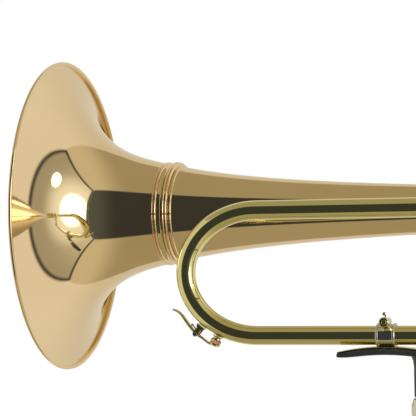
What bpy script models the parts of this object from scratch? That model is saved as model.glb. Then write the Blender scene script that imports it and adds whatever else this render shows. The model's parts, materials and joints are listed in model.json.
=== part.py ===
"""Contrabass trombone in F with one hand slide and two rotary valves.

Units are metres, +Z is up. The origin is the middle of the left-hand grip, between the two
inner slide tubes. The slide lies in the plane Y = 0 and moves towards -X. The bell lies
behind it, parallel to X, and its mouth faces -X.
"""
import math

import bmesh
import bpy
from mathutils import Matrix, Vector

# Bell. The flare follows R * (1 + x / scale) ** -power, drawn in a little before the ring joint
BELL_RADIUS = 0.1400          # outside of the sheet at the mouth
BELL_WALL = 0.0006
RIM_WIRE_RADIUS = 0.0017
RIM_WIRE_DEGREES = (50, -20, -90, -150)
FLARE_SCALE = 0.0255
FLARE_POWER = 0.70
FLARE_WAIST = 0.042           # share by which the flare is drawn in at its waist
WAIST_LENGTH = 0.1150
FLARE_STATIONS = 7
STEM_LENGTH = 1.0325
STEM_STATIONS = 8
BELL_Y = 0.1600

# Ring joint at the throat, from the mouth: two beads, a cove, a broad bead and a thin one
RING_START = 0.0974
RING_SPLIT = 0.1068           # where the front ring meets the rear one
RING_END = 0.1154
RING_STAND = 0.0031           # how far the broad bead stands out from the flare
FIRST_BEAD = 0.0008           # half widths of the beads
SECOND_BEAD = 0.0014
BROAD_BEAD = 0.0024
THIN_BEAD = 0.0009
BEAD_RISE = 0.0007
COVE_DEPTH = 0.0013
RING_DEPTH = 0.0030           # thickness of the front ring behind the flare
RING_OVERLAP = 0.0020         # how far the front ring reaches over the flare
STEM_OVERLAP = 0.0034         # how far the rear ring reaches over the stem
FLARE_LENGTH = RING_START + RING_OVERLAP
STEM_START = RING_END - STEM_OVERLAP

# The rear end stays in place, so a longer stem puts the mouth further forward
TUNING_BOW_X = 0.2630         # where the bow of the main tuning slide starts
STEM_END_GAP = 0.0935         # from the stem's end to that bow
RIM_X = TUNING_BOW_X - STEM_END_GAP - STEM_LENGTH - STEM_START

# Hand slide
LEG_Z = 0.0515                # half the distance between the two legs
BOW_REACH = 0.0616            # how far the bow reaches beyond the straight legs
OUTER_TUBE_LENGTH = 0.6860
UPPER_TUBE_RADIUS = 0.0081
LOWER_TUBE_RADIUS = 0.0078
OUTER_TUBE_WALL = 0.00045
BOW_TUBE_RADIUS = 0.0082
BOW_WALL = 0.0007
BOW_COUNT = 12
INNER_TUBE_RADIUS_UPPER = 0.0069
INNER_TUBE_RADIUS_LOWER = 0.0066
INNER_TUBE_WALL = 0.0005
INNER_TUBE_SETBACK = 0.0060   # from the bow's start to the end of the inner tubes
STOCKING_LENGTH = 0.0600
STOCKING_HEIGHT = 0.0002
STOCKING_TAPER = 0.0010
BARREL_START_X = -0.0670      # open end of the cork barrels
BARREL_ENTRY = 0.0070         # how far an outer tube reaches into its barrel
BOW_START_X = BARREL_START_X + BARREL_ENTRY - OUTER_TUBE_LENGTH
BOW_LEAD = 0.0020             # straight end of a bow, where it meets its leg squarely
END_RING_LENGTH = 0.0090      # ring at the open end of an outer tube
END_RING_HEIGHT = 0.0012
OUTER_BRACE_SET = 0.0400      # from the brace of the outer tubes to the barrels
OUTER_BRACE_X = BARREL_START_X - OUTER_BRACE_SET
OUTER_BRACE_RADIUS = 0.0046

# Gaps
GAP = 0.0003                  # between pieces that touch or are soldered
TUBE_GAP = 0.0005             # between a sleeve and the tube that slides in it

# Turned braces
BRACE_FOOT = 0.0034           # how far a foot stands out from its rod
BRACE_FOOT_EDGE = 0.0012
BRACE_FOOT_TAPER = 0.0050
BRACE_BEAD = 0.0012
BRACE_BEAD_HALF = 0.0026

# Water key on the slide bow
DRAIN_ANGLE = -60
SADDLE_ANGLE = -46
NIPPLE_HEIGHT = 0.0030
NIPPLE_RADIUS = 0.0034
NIPPLE_FOOT = 0.0012
NIPPLE_FOOT_HEIGHT = 0.0008
NIPPLE_BORE = 0.0020
CORK_THICKNESS = 0.0028
CORK_RADIUS = 0.0044
CUP_RIM = 0.0004
CUP_WALL = 0.0010
CUP_HEIGHT = 0.0024
PIN_HEIGHT = 0.0082
PIN_RADIUS = 0.0009
PIN_HEAD_RADIUS = 0.0018
PIN_HEAD_HEIGHT = 0.0009
CHEEK_Y = 0.0036
CHEEK_THICKNESS = 0.0012
CHEEK_RADIUS = 0.0022
CHEEK_SHOULDER = 0.0030       # height at which the cheeks narrow
CHEEK_FOOT = 0.0040
SADDLE_THICKNESS = 0.0014
KEY_WIDTH = 0.0048
KEY_EYE_RADIUS = 0.0021
KEY_EYE_THICKNESS = 0.0030
KEY_TIP_THICKNESS = 0.0016
KEY_BELLY = 0.0008            # how much thicker the lever is in its middle
KEY_LINE = (                  # X and Z from the pin, from the finger tip to the cup
    (-0.0200, 0.0202), (-0.0160, 0.0187), (-0.0120, 0.0151), (-0.0094, 0.0114),
    (-0.0067, 0.0078), (-0.0036, 0.0040), (0, 0), (0.0050, -0.0034), (0.0110, -0.0078),
)
SPRING_RADIUS = 0.00055
SPRING_LINE = ((-0.0034, 0.0076), (-0.0024, 0.0066), (-0.0012, 0.0050), (0.0002, 0.0036))

# Collar and its screw on the lower outer tube
COLLAR_SET = 0.1085           # from the bow's start to the middle of the collar
COLLAR_X = BOW_START_X + COLLAR_SET
COLLAR_LENGTH = 0.0158
COLLAR_WALL = 0.0013
COLLAR_BEAD = 0.0005
COLLAR_BEAD_WIDTH = 0.0020
COLLAR_SCREW_RADIUS = 0.0041
COLLAR_SCREW_HEIGHT = 0.0110
SCREW_HEAD_Y = 0.0070         # how far in front of the tube's middle the screw head starts
SCREW_HEAD_DEPTH = 0.0056
SCREW_HOLLOW = 0.0028         # depth left behind the hollow front of the head
SCREW_EDGE = 0.0006
SCREW_SHANK_RADIUS = 0.0015
SCREW_SHANK_END = 0.0010
LUG_RADIUS = 0.0034
LUG_BACK = 0.0040
CATCH_THICKNESS = 0.0014
CATCH_LINE = ((-0.0012, 0.0026), (-0.0010, 0.0052), (-0.0022, 0.0064), (-0.0008, 0.0076),
              (0.0012, 0.0056), (0.0016, 0.0026))
BLOCK_HALF = 0.0056
BLOCK_FOOT = 0.0010
BLOCK_WIDTH = 0.0080

# Hand rest
REST_LENGTH = 0.0850
REST_WIDTH = 0.0200
REST_METAL = 0.0010
REST_LEATHER = 0.0056
REST_LIP = 0.0005             # how far the leather stands out beside the metal
REST_TIP = 0.0035             # how far the leather's underside draws in at the tips
REST_ARCH_RADIUS = 0.1150
REST_UNDER_RADIUS = 0.1500
REST_DROP = 0.0022            # from the collar's underside to the rest's top

# Handle post and grip
POST_SET = 0.0285             # from the collar to the post
POST_X = COLLAR_X + POST_SET
POST_RADIUS = 0.0066
POST_FILLET = 0.0030
POST_SEAT = 0.0013            # keeps the sleeve's top inside the leather
CORE_RADIUS = 0.0036
CORE_HEAD_GAP = 0.0016
CORE_TAIL = 0.0120            # how far the core reaches into the grip
POST_LENGTH = 0.0310
FERRULE_RADIUS = 0.0092
FERRULE_LENGTH = 0.0200
FERRULE_TAPER = 0.0065
FERRULE_STEP = 0.0010
GRIP_RADIUS = 0.0125
GRIP_LENGTH = 0.0950
GRIP_NECK = 0.0050
GRIP_FOOT = 0.0120
CAP_SKIRT = 0.0030
CAP_HEIGHT = 0.0112

# Main tuning slide and gooseneck
TUNING_BOW_COUNT = 10
TUNING_LEAD = 0.0160
TUNING_LEG_RADIUS = 0.0093
TUNING_LEG_INSERT = 0.0620
TUNING_WALL = 0.0006
SLEEVE_WALL = 0.0008
SLEEVE_RING = 0.0010
SLEEVE_RING_LENGTH = 0.0060
SLEEVE_FRONT_RING = 0.0110    # how far the front ring reaches along the sleeve
SLEEVE_STEP = 0.0005
STEM_SEAT = 0.0105            # how far the sleeve reaches over the stem
STEM_SEAT_LENGTH = 0.0120
GOOSENECK_SEAT = 0.0045
GOOSENECK_SEAT_END = 0.0010
TUNING_BRACE_RADIUS = 0.0030
REAR_BRACE_SET = 0.0480       # from the rear brace to the bow's start
REAR_BRACE_X = TUNING_BOW_X - REAR_BRACE_SET
REAR_BRACE_RADIUS = 0.0032

# Rotary valves
VALVE_X = (0.0870, 0.1510)
CASING_RADIUS = 0.0210
CASING_WALL = 0.0037
CASING_HEIGHT = 0.0400
CASING_FLOOR = 0.0030
CASING_EDGE = 0.0008
CASING_FOOT = 0.0020
ROTOR_GAP = 0.0003
ROTOR_TOP = 0.0030            # from the rotor's top to the casing's rim
SHAFT_RADIUS = 0.0035
SHAFT_TIP_RADIUS = 0.0022
SCOOP_OFFSET = 0.0020         # how far a scoop's axis lies outside the rotor
STUB_LENGTH = 0.0055
STUB_RADIUS = 0.0090
LOOP_STUB_RADIUS = 0.0086
LOOP_STUB_START = 0.0050
LOOP_BORE_START = 0.0040
BORE_RADIUS = 0.0068
PLATE_THICKNESS = 0.0022
PLATE_HUB = 0.0020
PLATE_HUB_HEIGHT = 0.0010
STOP_ARM_RADIUS = 0.0088
STOP_ARM_THICKNESS = 0.0020
STOP_ARM_WIDTHS = (0.0060, 0.0050, 0.0036)
STOP_ARM_TIP = 1.25           # length of the arm as a share of its ball's distance
STOP_HUB_RADIUS = 0.0046

# Valve loops
LOOP_RADIUS = 0.0076
LOOP_WALL = 0.0006
LOOP_SLIDE_WALL = 0.0014
LOOP_LIFT = 0.0095
LOOP_INNER_Y = 0.0520
LOOP_OUTER_Y = 0.1140
LOOP_PORT_SPREAD = 0.0100
LOOP_INNER_BEND = 0.0240
LOOP_OUTER_BEND = 0.0350
LOOP_END_X = (-0.1700, -0.3450)
LOOP_LEG_INSERT = 0.0800
LOOP_LEG_ROOT = 0.0050        # how far a slide's leg reaches back into its bow
LOOP_BOW_COUNT = 6
BEND_COUNT = 4

# Thumb levers and their links
LEVER_SET = 0.0430            # from the levers' hinge to the first valve
LEVER_X = VALVE_X[0] - LEVER_SET
LEVER_Y = 0.0190
LEVER_ARM = 0.0300
LEVER_TURN = math.radians(24)
LEVER_THICKNESS = 0.0028
LEVER_WIDTH = 0.0046
LEVER_SWELL = 0.0020          # how much wider the lever is at its hinge
LEVER_HUB_RADIUS = 0.0046
LEVER_PIN_RADIUS = 0.0018
POST_HEAD = 0.0014            # how far the post's head and shoulder stand out from the pin
POST_HEAD_HEIGHT = 0.0012
POST_FOOT_RADIUS = 0.0046
PADDLE_REACH = 0.0400
PADDLE_X = -0.0070
PADDLE_RADIUS = 0.0086
PADDLE_LINE = ((0, 0.0016), (0.0078, 0.0014), (PADDLE_RADIUS, 0.0004), (0.0080, -0.0006), (0, -0.0010))
LINK_RADIUS = 0.0009
LINK_BALL = 0.0018

# Left-hand end of the slide
BARREL_LENGTH = 0.0420
BARREL_RADIUS = 0.0112
BARREL_CAVITY = 0.0140
BARREL_CLEARANCE = 0.0006
BARREL_NOSE = 0.0018
INNER_TUBE_END_X = 0.0120
TENON_RADIUS = 0.0084
TENON_TIP = 0.0005
TENON_SHOULDER = 0.0015
TENON_REACH = 0.0250          # from the inner tube's end to the tenon's end
TENON_END_X = INNER_TUBE_END_X + TENON_REACH
GRIP_ROD_RADIUS = 0.0055
LOCK_LENGTH = 0.0085
LOCK_OFFSET = 0.0060          # from the barrel's open end to the lock ring
LOCK_WALL = 0.0019
LOCK_EDGE = 0.0005
LOCK_CHAMFER = 0.0015
LOCK_TAB_RADIUS = 0.0022
LOCK_TAB_START = 0.0008
LOCK_TAB_END = 0.0045

# Bell lock
RECEIVER_SET = 0.0130         # from the inner tube's end to the receiver
RECEIVER_LENGTH = 0.0352
RECEIVER_START_X = INNER_TUBE_END_X + RECEIVER_SET
RECEIVER_END_X = RECEIVER_START_X + RECEIVER_LENGTH
RECEIVER_BORE = 0.0088
RECEIVER_WALL = 0.0014
THREAD_HEIGHT = 0.0006
THREAD_LENGTH = 0.0095
THREAD_RELIEF = 0.0010
NUT_WALL = 0.0024
NUT_START = 0.0035            # from the end of the inner tube
NUT_OVERLAP = 0.0080
NUT_TAPER = 0.0014
NUT_TAPER_LENGTH = 0.0040

# Mouthpiece and its receiver
MOUTH_RECEIVER_OVERLAP = 0.0020
MOUTH_RECEIVER_LENGTH = 0.0430
MOUTH_RECEIVER_WALL = 0.0019
MOUTH_RECEIVER_RING = 0.0008
MOUTH_RECEIVER_RING_LENGTH = 0.0050
MOUTHPIECE_LENGTH = 0.0660    # from the receiver's end to the rim
MOUTHPIECE_CUP_RADIUS = 0.0142
MOUTHPIECE_RIM = 0.0042
MOUTHPIECE_SHELL = 0.0022
MOUTHPIECE_NOSE = 0.0120
MOUTHPIECE_THROAT = 0.0039
MOUTHPIECE_BACKBORE = 0.0046

# Front bell brace
FRONT_BRACE_SET = 0.0040      # from the brace to the receiver's end
FRONT_BRACE_X = RECEIVER_END_X - FRONT_BRACE_SET
BRACE_CROWN = 0.0225
BRACE_BEND = 0.0100
BRACE_ROD_RADIUS = 0.0020
BRACE_PAD_RADIUS = 0.0036
BRACE_PAD_HEIGHT = 0.0012
BRACE_SINK = 0.0004           # keeps the rod's end inside its pad

SMOOTH_ANGLE = math.radians(35)
CUT = 0.1                     # how far a cutter reaches past what it cuts
SHORT_CUT = 0.01

# Sides of round pieces, more where they are larger
FINE = 32
MEDIUM = 20
ROUND = 12
SMALL = 10
BORE_SIDES = 12
HALF_BORE_STEP = math.pi / BORE_SIDES   # keeps the edges of a bore off those of its casing
BOW_SIDES_STEP = 4            # a bent tube has 4 sides and 2 more for each step
LOOP_SIDES_STEP = 3

UPPER = Vector((0, 0, LEG_Z))
LOWER = Vector((0, 0, -LEG_Z))
BELL_AXIS = Vector((0, BELL_Y, LEG_Z))
MOUTH = Vector((RIM_X, BELL_Y, LEG_Z))


def clear_scene():
    for old in list(bpy.data.objects):
        bpy.data.objects.remove(old)


def new_collection(name):
    collection = bpy.data.collections.new(name)
    bpy.context.scene.collection.children.link(collection)
    return collection


clear_scene()
PARTS = new_collection("contrabass_trombone")
CUTTERS = new_collection("cutters")


def metal(name, colour, roughness, metallic=1.0):
    material = bpy.data.materials.new(name)
    material.use_nodes = True
    shader = material.node_tree.nodes["Principled BSDF"]
    shader.inputs["Base Color"].default_value = (*colour, 1)
    shader.inputs["Roughness"].default_value = roughness
    shader.inputs["Metallic"].default_value = metallic
    return material


GOLD_BRASS = metal("gold_brass", (0.86, 0.66, 0.40), 0.12)
YELLOW_BRASS = metal("yellow_brass", (0.83, 0.68, 0.25), 0.12)
NICKEL_SILVER = metal("nickel_silver", (0.66, 0.62, 0.54), 0.20)
STEEL = metal("steel", (0.60, 0.60, 0.60), 0.25)
SILVER = metal("silver_plate", (0.85, 0.84, 0.82), 0.12)
LEATHER = metal("black_leather", (0.03, 0.03, 0.035), 0.55, 0.0)
CORK = metal("cork", (0.55, 0.33, 0.24), 0.85, 0.0)
WOOD = metal("black_wood", (0.035, 0.025, 0.02), 0.35, 0.0)

TURN = {
    "X": Matrix.Rotation(math.radians(90), 4, "Y"),
    "Y": Matrix.Rotation(math.radians(-90), 4, "X"),
    "Z": Matrix.Identity(4),
}


def pivot(name, place):
    """An empty on the joint's axis, which carries the pieces that move together."""
    empty = bpy.data.objects.new(name, None)
    empty.location = place
    empty.empty_display_size = 0.02
    PARTS.objects.link(empty)
    return empty


def carry(child, parent):
    if parent is not None:
        child.parent = parent
        child.matrix_parent_inverse = Matrix.Translation(-parent.location)


def finish_mesh(piece, material, parent):
    piece.data.materials.clear()
    piece.data.materials.append(material)
    piece.data.shade_smooth()
    piece.data.set_sharp_from_angle(angle=SMOOTH_ANGLE)
    carry(piece, parent)
    return piece


def turned(name, profile, material, place, axis="Z", parent=None, steps=ROUND, closed=True, roll=0.0):
    """Turn a profile of (radius, height) pairs, listed down its outer side."""
    mesh = bpy.data.meshes.new(name)
    points = [(radius * math.cos(roll), radius * math.sin(roll), height) for radius, height in profile]
    edges = [(i, i + 1) for i in range(len(points) - 1)]
    if closed:
        edges.append((len(points) - 1, 0))
    mesh.from_pydata(points, edges, [])
    piece = bpy.data.objects.new(name, mesh)
    PARTS.objects.link(piece)
    piece.matrix_world = Matrix.Translation(place) @ TURN[axis]
    screw = piece.modifiers.new("turn", "SCREW")
    screw.angle = math.tau
    screw.steps = steps
    screw.render_steps = steps
    screw.use_merge_vertices = True
    screw.merge_threshold = 0.00001
    screw.use_smooth_shade = True
    baked = applied_mesh(piece)
    piece.modifiers.clear()
    piece.data = baked
    return finish_mesh(piece, material, parent)


def applied_mesh(piece):
    graph = bpy.context.evaluated_depsgraph_get()
    graph.update()
    return bpy.data.meshes.new_from_object(piece.evaluated_get(graph), depsgraph=graph)


def pipe(name, start, end, outer, inner, material, centre, axis="X", parent=None, steps=ROUND):
    """A straight hollow tube between two places along its axis."""
    profile = [(outer, end), (outer, start), (inner, start), (inner, end)]
    return turned(name, profile, material, centre, axis, parent, steps)


def arc_points(centre, radius_a, radius_b, start_deg, end_deg, count, along, across):
    """Points of an ellipse arc in the plane of two directions."""
    found = []
    for i in range(count + 1):
        angle = math.radians(start_deg + (end_deg - start_deg) * i / count)
        offset = along * (radius_a * math.cos(angle)) + across * (radius_b * math.sin(angle))
        found.append(centre + offset)
    return found


def bent_tube(name, points, outer, wall, material, parent=None, sides_step=4):
    """A tube along a line. With a wall it is open at both ends, without one it is a rod."""
    curve = bpy.data.curves.new(name, "CURVE")
    curve.dimensions = "3D"
    curve.bevel_depth = outer
    curve.bevel_resolution = sides_step
    curve.use_fill_caps = wall is None
    line = curve.splines.new("POLY")
    line.points.add(len(points) - 1)
    for point, place in zip(line.points, points):
        point.co = (*place, 1)
    guide = bpy.data.objects.new(name + "_guide", curve)
    PARTS.objects.link(guide)
    mesh = applied_mesh(guide)
    bpy.data.objects.remove(guide)
    work = bmesh.new()
    work.from_mesh(mesh)
    bmesh.ops.remove_doubles(work, verts=work.verts, dist=0.000002)
    work.to_mesh(mesh)
    work.free()
    piece = bpy.data.objects.new(name, mesh)
    PARTS.objects.link(piece)
    if wall is not None:
        shell = piece.modifiers.new("wall", "SOLIDIFY")
        shell.thickness = wall
        shell.offset = -1
        shell.use_even_offset = True
    return finish_mesh(piece, material, parent)


def outline_plate(name, outline, thickness, material, place, parent=None, flat=False):
    """A flat outline with its thickness along Y, or along Z where flat is set."""
    curve = bpy.data.curves.new(name, "CURVE")
    curve.dimensions = "2D"
    curve.fill_mode = "BOTH"
    curve.extrude = thickness / 2
    line = curve.splines.new("POLY")
    line.points.add(len(outline) - 1)
    for point, (x, z) in zip(line.points, outline):
        point.co = (x, z, 0, 1)
    line.use_cyclic_u = True
    guide = bpy.data.objects.new(name + "_guide", curve)
    PARTS.objects.link(guide)
    mesh = applied_mesh(guide)
    bpy.data.objects.remove(guide)
    work = bmesh.new()
    work.from_mesh(mesh)
    bmesh.ops.remove_doubles(work, verts=work.verts, dist=0.000002)
    bmesh.ops.recalc_face_normals(work, faces=work.faces)
    work.to_mesh(mesh)
    work.free()
    piece = bpy.data.objects.new(name, mesh)
    PARTS.objects.link(piece)
    stand = Matrix.Identity(4) if flat else Matrix.Rotation(math.radians(90), 4, "X")
    piece.matrix_world = Matrix.Translation(place) @ stand
    return finish_mesh(piece, material, parent)


def ribbon(points, widths):
    """The outline of a strip whose width changes along its middle line."""
    left = []
    right = []
    for i, (x, z) in enumerate(points):
        before = points[max(i - 1, 0)]
        after = points[min(i + 1, len(points) - 1)]
        run = Vector((after[0] - before[0], after[1] - before[1])).normalized()
        side = Vector((-run.y, run.x)) * widths[i] / 2
        left.append((x + side.x, z + side.y))
        right.append((x - side.x, z - side.y))
    return left + right[::-1]


def smooth_line(points, parts):
    """A Catmull-Rom curve through chosen points."""
    found = []
    for i in range(len(points) - 1):
        p0 = Vector(points[max(i - 1, 0)])
        p1 = Vector(points[i])
        p2 = Vector(points[i + 1])
        p3 = Vector(points[min(i + 2, len(points) - 1)])
        for step in range(parts):
            t = step / parts
            bend = (2 * p0 - 5 * p1 + 4 * p2 - p3) * t * t
            twist = (3 * p1 - p0 - 3 * p2 + p3) * t * t * t
            found.append((2 * p1 + (p2 - p0) * t + bend + twist) / 2)
    found.append(Vector(points[-1]))
    return found


def boolean(piece, cutter, operation):
    change = piece.modifiers.new(operation.lower(), "BOOLEAN")
    change.operation = operation
    change.object = cutter
    change.solver = "EXACT"


def cutter_rod(name, start, end, radius, centre, axis, steps=SMALL, roll=0.0):
    profile = [(0, end), (radius, end), (radius, start), (0, start)]
    return as_cutter(turned(name, profile, STEEL, centre, axis, None, steps, False, roll))


def as_cutter(piece):
    for collection in list(piece.users_collection):
        collection.objects.unlink(piece)
    CUTTERS.objects.link(piece)
    piece.hide_render = True
    piece.display_type = "WIRE"
    return piece


def joined(piece, *others):
    """Join other shapes to a piece, which stays one body."""
    for other in others:
        boolean(piece, as_cutter(other), "UNION")
    return piece


def flare_radius(x):
    """Outside radius of the bell at a distance from its mouth."""
    drawn_in = 0.0
    if 0 < x < WAIST_LENGTH:
        drawn_in = FLARE_WAIST * math.sin(math.pi * x / WAIST_LENGTH) ** 2
    return BELL_RADIUS * (1 + x / FLARE_SCALE) ** -FLARE_POWER * (1 - drawn_in)


def bell_sheet(stations, rim):
    """The profile of a sheet that follows the flare, with a rolled rim at the mouth if asked for."""
    step = BELL_WALL / 4
    outer = [(flare_radius(x), x) for x in stations]
    inner = []
    for x in stations:
        slope = (flare_radius(x + step) - flare_radius(x - step)) / (2 * step)
        lean = math.hypot(1, slope)
        inner.append((flare_radius(x) - BELL_WALL / lean, x + BELL_WALL * slope / lean))
    profile = outer[::-1]
    if rim:
        for degrees in RIM_WIRE_DEGREES:
            angle = math.radians(degrees)
            radius = BELL_RADIUS + RIM_WIRE_RADIUS * math.cos(angle)
            height = RIM_WIRE_RADIUS * (1 + math.sin(angle))
            profile.append((radius, height))
        clear = BELL_RADIUS - 1.2 * RIM_WIRE_RADIUS
        inner = [point for point in inner if point[0] < clear]
    return profile + inner


def build_bell():
    """The stations lie closer together where the sheet curves most."""
    flare = [FLARE_LENGTH * (0.2 + 0.8 * i / FLARE_STATIONS) ** 2 for i in range(FLARE_STATIONS + 1)]
    turned("bell_flare", bell_sheet(flare, True), GOLD_BRASS, MOUTH, "X", None, FINE)
    stem = [STEM_START + STEM_LENGTH * (i / STEM_STATIONS) ** 1.35 for i in range(STEM_STATIONS + 1)]
    turned("bell_stem", bell_sheet(stem, False), GOLD_BRASS, MOUTH, "X", None, MEDIUM)


def build_ring_joint():
    """Two turned rings at the throat: the front one on the flare, the rear one on the stem."""
    base = flare_radius(RING_START) + GAP
    first = RING_START + FIRST_BEAD
    second = first + 2 * FIRST_BEAD + SECOND_BEAD
    crest = flare_radius(RING_SPLIT) + RING_STAND
    shoulder = crest - BEAD_RISE
    low = shoulder - COVE_DEPTH / 2
    front = [
        (low + BEAD_RISE / 2, RING_SPLIT), (low, RING_SPLIT - BROAD_BEAD / 2),
        (low + BEAD_RISE / 2, second + SECOND_BEAD),
        (base + BEAD_RISE, second), (base + BEAD_RISE / 4, second - SECOND_BEAD),
        (base + BEAD_RISE, first), (base, RING_START),
        (base, FLARE_LENGTH + GAP), (base - RING_DEPTH, FLARE_LENGTH + GAP),
        (base - RING_DEPTH, RING_SPLIT),
    ]
    turned("flare_ring", front, GOLD_BRASS, MOUTH, "X", None, FINE)
    rear_start = RING_SPLIT + GAP
    broad = rear_start + BROAD_BEAD
    seat = flare_radius(STEM_START) + TUBE_GAP
    thin = RING_END - THIN_BEAD
    rear = [
        (seat, RING_END), (seat + THIN_BEAD, thin), (seat + THIN_BEAD / 2, thin - THIN_BEAD),
        (shoulder - BEAD_RISE, broad + BROAD_BEAD), (crest, broad + BROAD_BEAD / 3),
        (crest, broad - BROAD_BEAD / 3), (low + BEAD_RISE / 2, rear_start),
        (seat - RING_DEPTH, rear_start), (seat - RING_DEPTH, STEM_START - GAP),
        (seat, STEM_START - GAP),
    ]
    turned("stem_ring", rear, GOLD_BRASS, MOUTH, "X", None, FINE)


def bow_between(name, bow_x, reach, low, high, outer, wall, material, parent, lead, direction,
                count=BOW_COUNT, sides_step=BOW_SIDES_STEP):
    """A U-shaped tube that joins two parallel legs. Direction is the side that it bulges to."""
    middle = (low + high) / 2
    half = (high - low).length / 2
    across = (high - low).normalized()
    along = Vector((direction, 0, 0))
    centre = Vector((bow_x, middle.y, middle.z))
    points = [centre - across * half - along * lead]
    points += arc_points(centre, reach, half, -90, 90, count, along, across)
    points.append(centre + across * half - along * lead)
    return bent_tube(name, points, outer, wall, material, parent, sides_step)


def build_outer_slide():
    slide = pivot("pivot_hand_slide", Vector((0, 0, 0)))
    end_x = BOW_START_X + OUTER_TUBE_LENGTH
    tube_start = BOW_START_X + BOW_LEAD + GAP
    ring_end = BARREL_START_X - 2 * GAP
    ring_start = ring_end - END_RING_LENGTH
    for name, centre, outer in (("upper_outer_tube", UPPER, UPPER_TUBE_RADIUS),
                                ("lower_outer_tube", LOWER, LOWER_TUBE_RADIUS)):
        inner = outer - OUTER_TUBE_WALL
        profile = [
            (outer, end_x), (outer, ring_end), (outer + END_RING_HEIGHT, ring_end),
            (outer + END_RING_HEIGHT, ring_start), (outer, ring_start),
            (outer, tube_start), (inner, tube_start), (inner, end_x),
        ]
        turned(name, profile, YELLOW_BRASS, centre, "X", slide)
    bow_between("slide_bow", BOW_START_X, BOW_REACH, LOWER, UPPER, BOW_TUBE_RADIUS, BOW_WALL,
                YELLOW_BRASS, slide, BOW_LEAD, -1)
    brace_rod("outer_slide_brace", Vector((OUTER_BRACE_X, 0, 0)), "Z", -LEG_Z + LOWER_TUBE_RADIUS,
              LEG_Z - UPPER_TUBE_RADIUS, OUTER_BRACE_RADIUS, YELLOW_BRASS, slide)
    return slide


def brace_rod(name, place, axis, start, end, rod_radius, material, parent=None):
    """A turned brace with a foot at each end and a bead in the middle."""
    low = start + GAP
    high = end - GAP
    middle = (low + high) / 2
    foot = rod_radius + BRACE_FOOT
    bead = rod_radius + BRACE_BEAD
    profile = [
        (0, high), (foot, high), (foot, high - BRACE_FOOT_EDGE), (rod_radius, high - BRACE_FOOT_TAPER),
        (rod_radius, middle + BRACE_BEAD_HALF), (bead, middle + BRACE_BEAD_HALF / 2),
        (bead, middle - BRACE_BEAD_HALF / 2), (rod_radius, middle - BRACE_BEAD_HALF),
        (rod_radius, low + BRACE_FOOT_TAPER), (foot, low + BRACE_FOOT_EDGE), (foot, low), (0, low),
    ]
    return turned(name, profile, material, place, axis, parent, ROUND, False)


def bow_side(angle_deg, distance):
    """A place beside the slide bow: angle 0 is its tip, -90 the lower leg, distance outwards."""
    angle = math.radians(angle_deg)
    x = -BOW_REACH * math.cos(angle)
    z = LEG_Z * math.sin(angle)
    normal = Vector((x / BOW_REACH ** 2, 0, z / LEG_Z ** 2)).normalized()
    return Vector((BOW_START_X + x, 0, z)) + normal * distance, normal


def hole(piece, name, start, end, radius, centre, axis, steps=SMALL, roll=0.0):
    boolean(piece, cutter_rod(name, start, end, radius, centre, axis, steps, roll), "DIFFERENCE")


def rod(name, start, end, radius, material, centre, axis, parent=None, steps=SMALL, roll=0.0):
    profile = [(0, end), (radius, end), (radius, start), (0, start)]
    return turned(name, profile, material, centre, axis, parent, steps, False, roll)


def stood_on(piece, place, normal):
    """Turn a piece that was made along Z so that it stands on a surface."""
    piece.matrix_world = Matrix.Translation(place) @ normal.to_track_quat("Z", "Y").to_matrix().to_4x4()
    return piece


def leaned(points, along, lean):
    """Points given along and above a sloping seat, as X and Z."""
    return [(along.x * a + lean.x * b, along.z * a + lean.z * b) for a, b in points]


def build_water_key(slide):
    surface = BOW_TUBE_RADIUS + GAP
    foot, normal = bow_side(DRAIN_ANGLE, surface)
    nipple_line = [
        (NIPPLE_RADIUS, NIPPLE_HEIGHT), (NIPPLE_RADIUS, NIPPLE_FOOT_HEIGHT),
        (NIPPLE_RADIUS + NIPPLE_FOOT, 0), (NIPPLE_BORE, 0), (NIPPLE_BORE, NIPPLE_HEIGHT),
    ]
    nipple = turned("drain_nipple", nipple_line, YELLOW_BRASS, foot, "Z", None, SMALL)
    carry(stood_on(nipple, foot, normal), slide)
    seat, lean = bow_side(SADDLE_ANGLE, surface)
    along = Vector((-lean.z, 0, lean.x))
    pin = seat + lean * PIN_HEIGHT
    build_saddle(slide, seat, along, lean, pin)
    head_y = CHEEK_Y + CHEEK_THICKNESS / 2 + GAP
    head_end = head_y + PIN_HEAD_HEIGHT
    screw = [
        (0, head_end), (PIN_HEAD_RADIUS, head_end), (PIN_HEAD_RADIUS, head_y), (PIN_RADIUS, head_y),
        (PIN_RADIUS, -head_y), (PIN_HEAD_RADIUS, -head_y), (PIN_HEAD_RADIUS, -head_end), (0, -head_end),
    ]
    turned("water_key_screw", screw, STEEL, pin, "Y", slide, SMALL, False)
    build_water_key_lever(slide, pin, foot, normal)


def build_saddle(slide, seat, along, lean, pin):
    """A foot that follows the bow, with two cheeks that hold the pin."""
    half = CHEEK_FOOT
    toe = half - SADDLE_THICKNESS / 2
    base = [(-half, 0), (-toe, SADDLE_THICKNESS), (toe, SADDLE_THICKNESS), (half, 0)]
    depth = 2 * CHEEK_Y + CHEEK_THICKNESS
    saddle = outline_plate("water_key_saddle", leaned(base, along, lean), depth, YELLOW_BRASS, seat)
    radius = CHEEK_RADIUS
    cheek = [(-half, GAP), (-radius, CHEEK_SHOULDER), (-radius, PIN_HEIGHT)]
    for degrees in range(150, 29, -30):
        angle = math.radians(degrees)
        cheek.append((radius * math.cos(angle), PIN_HEIGHT + radius * math.sin(angle)))
    cheek += [(radius, PIN_HEIGHT), (radius, CHEEK_SHOULDER), (half, GAP)]
    for side in (-1, 1):
        place = seat + Vector((0, side * CHEEK_Y, 0))
        plate = outline_plate("cheek_cutter", leaned(cheek, along, lean), CHEEK_THICKNESS, YELLOW_BRASS, place)
        joined(saddle, plate)
    hole(saddle, "pin_hole", -SHORT_CUT, SHORT_CUT, PIN_RADIUS + GAP, pin, "Y")
    carry(saddle, slide)


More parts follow.
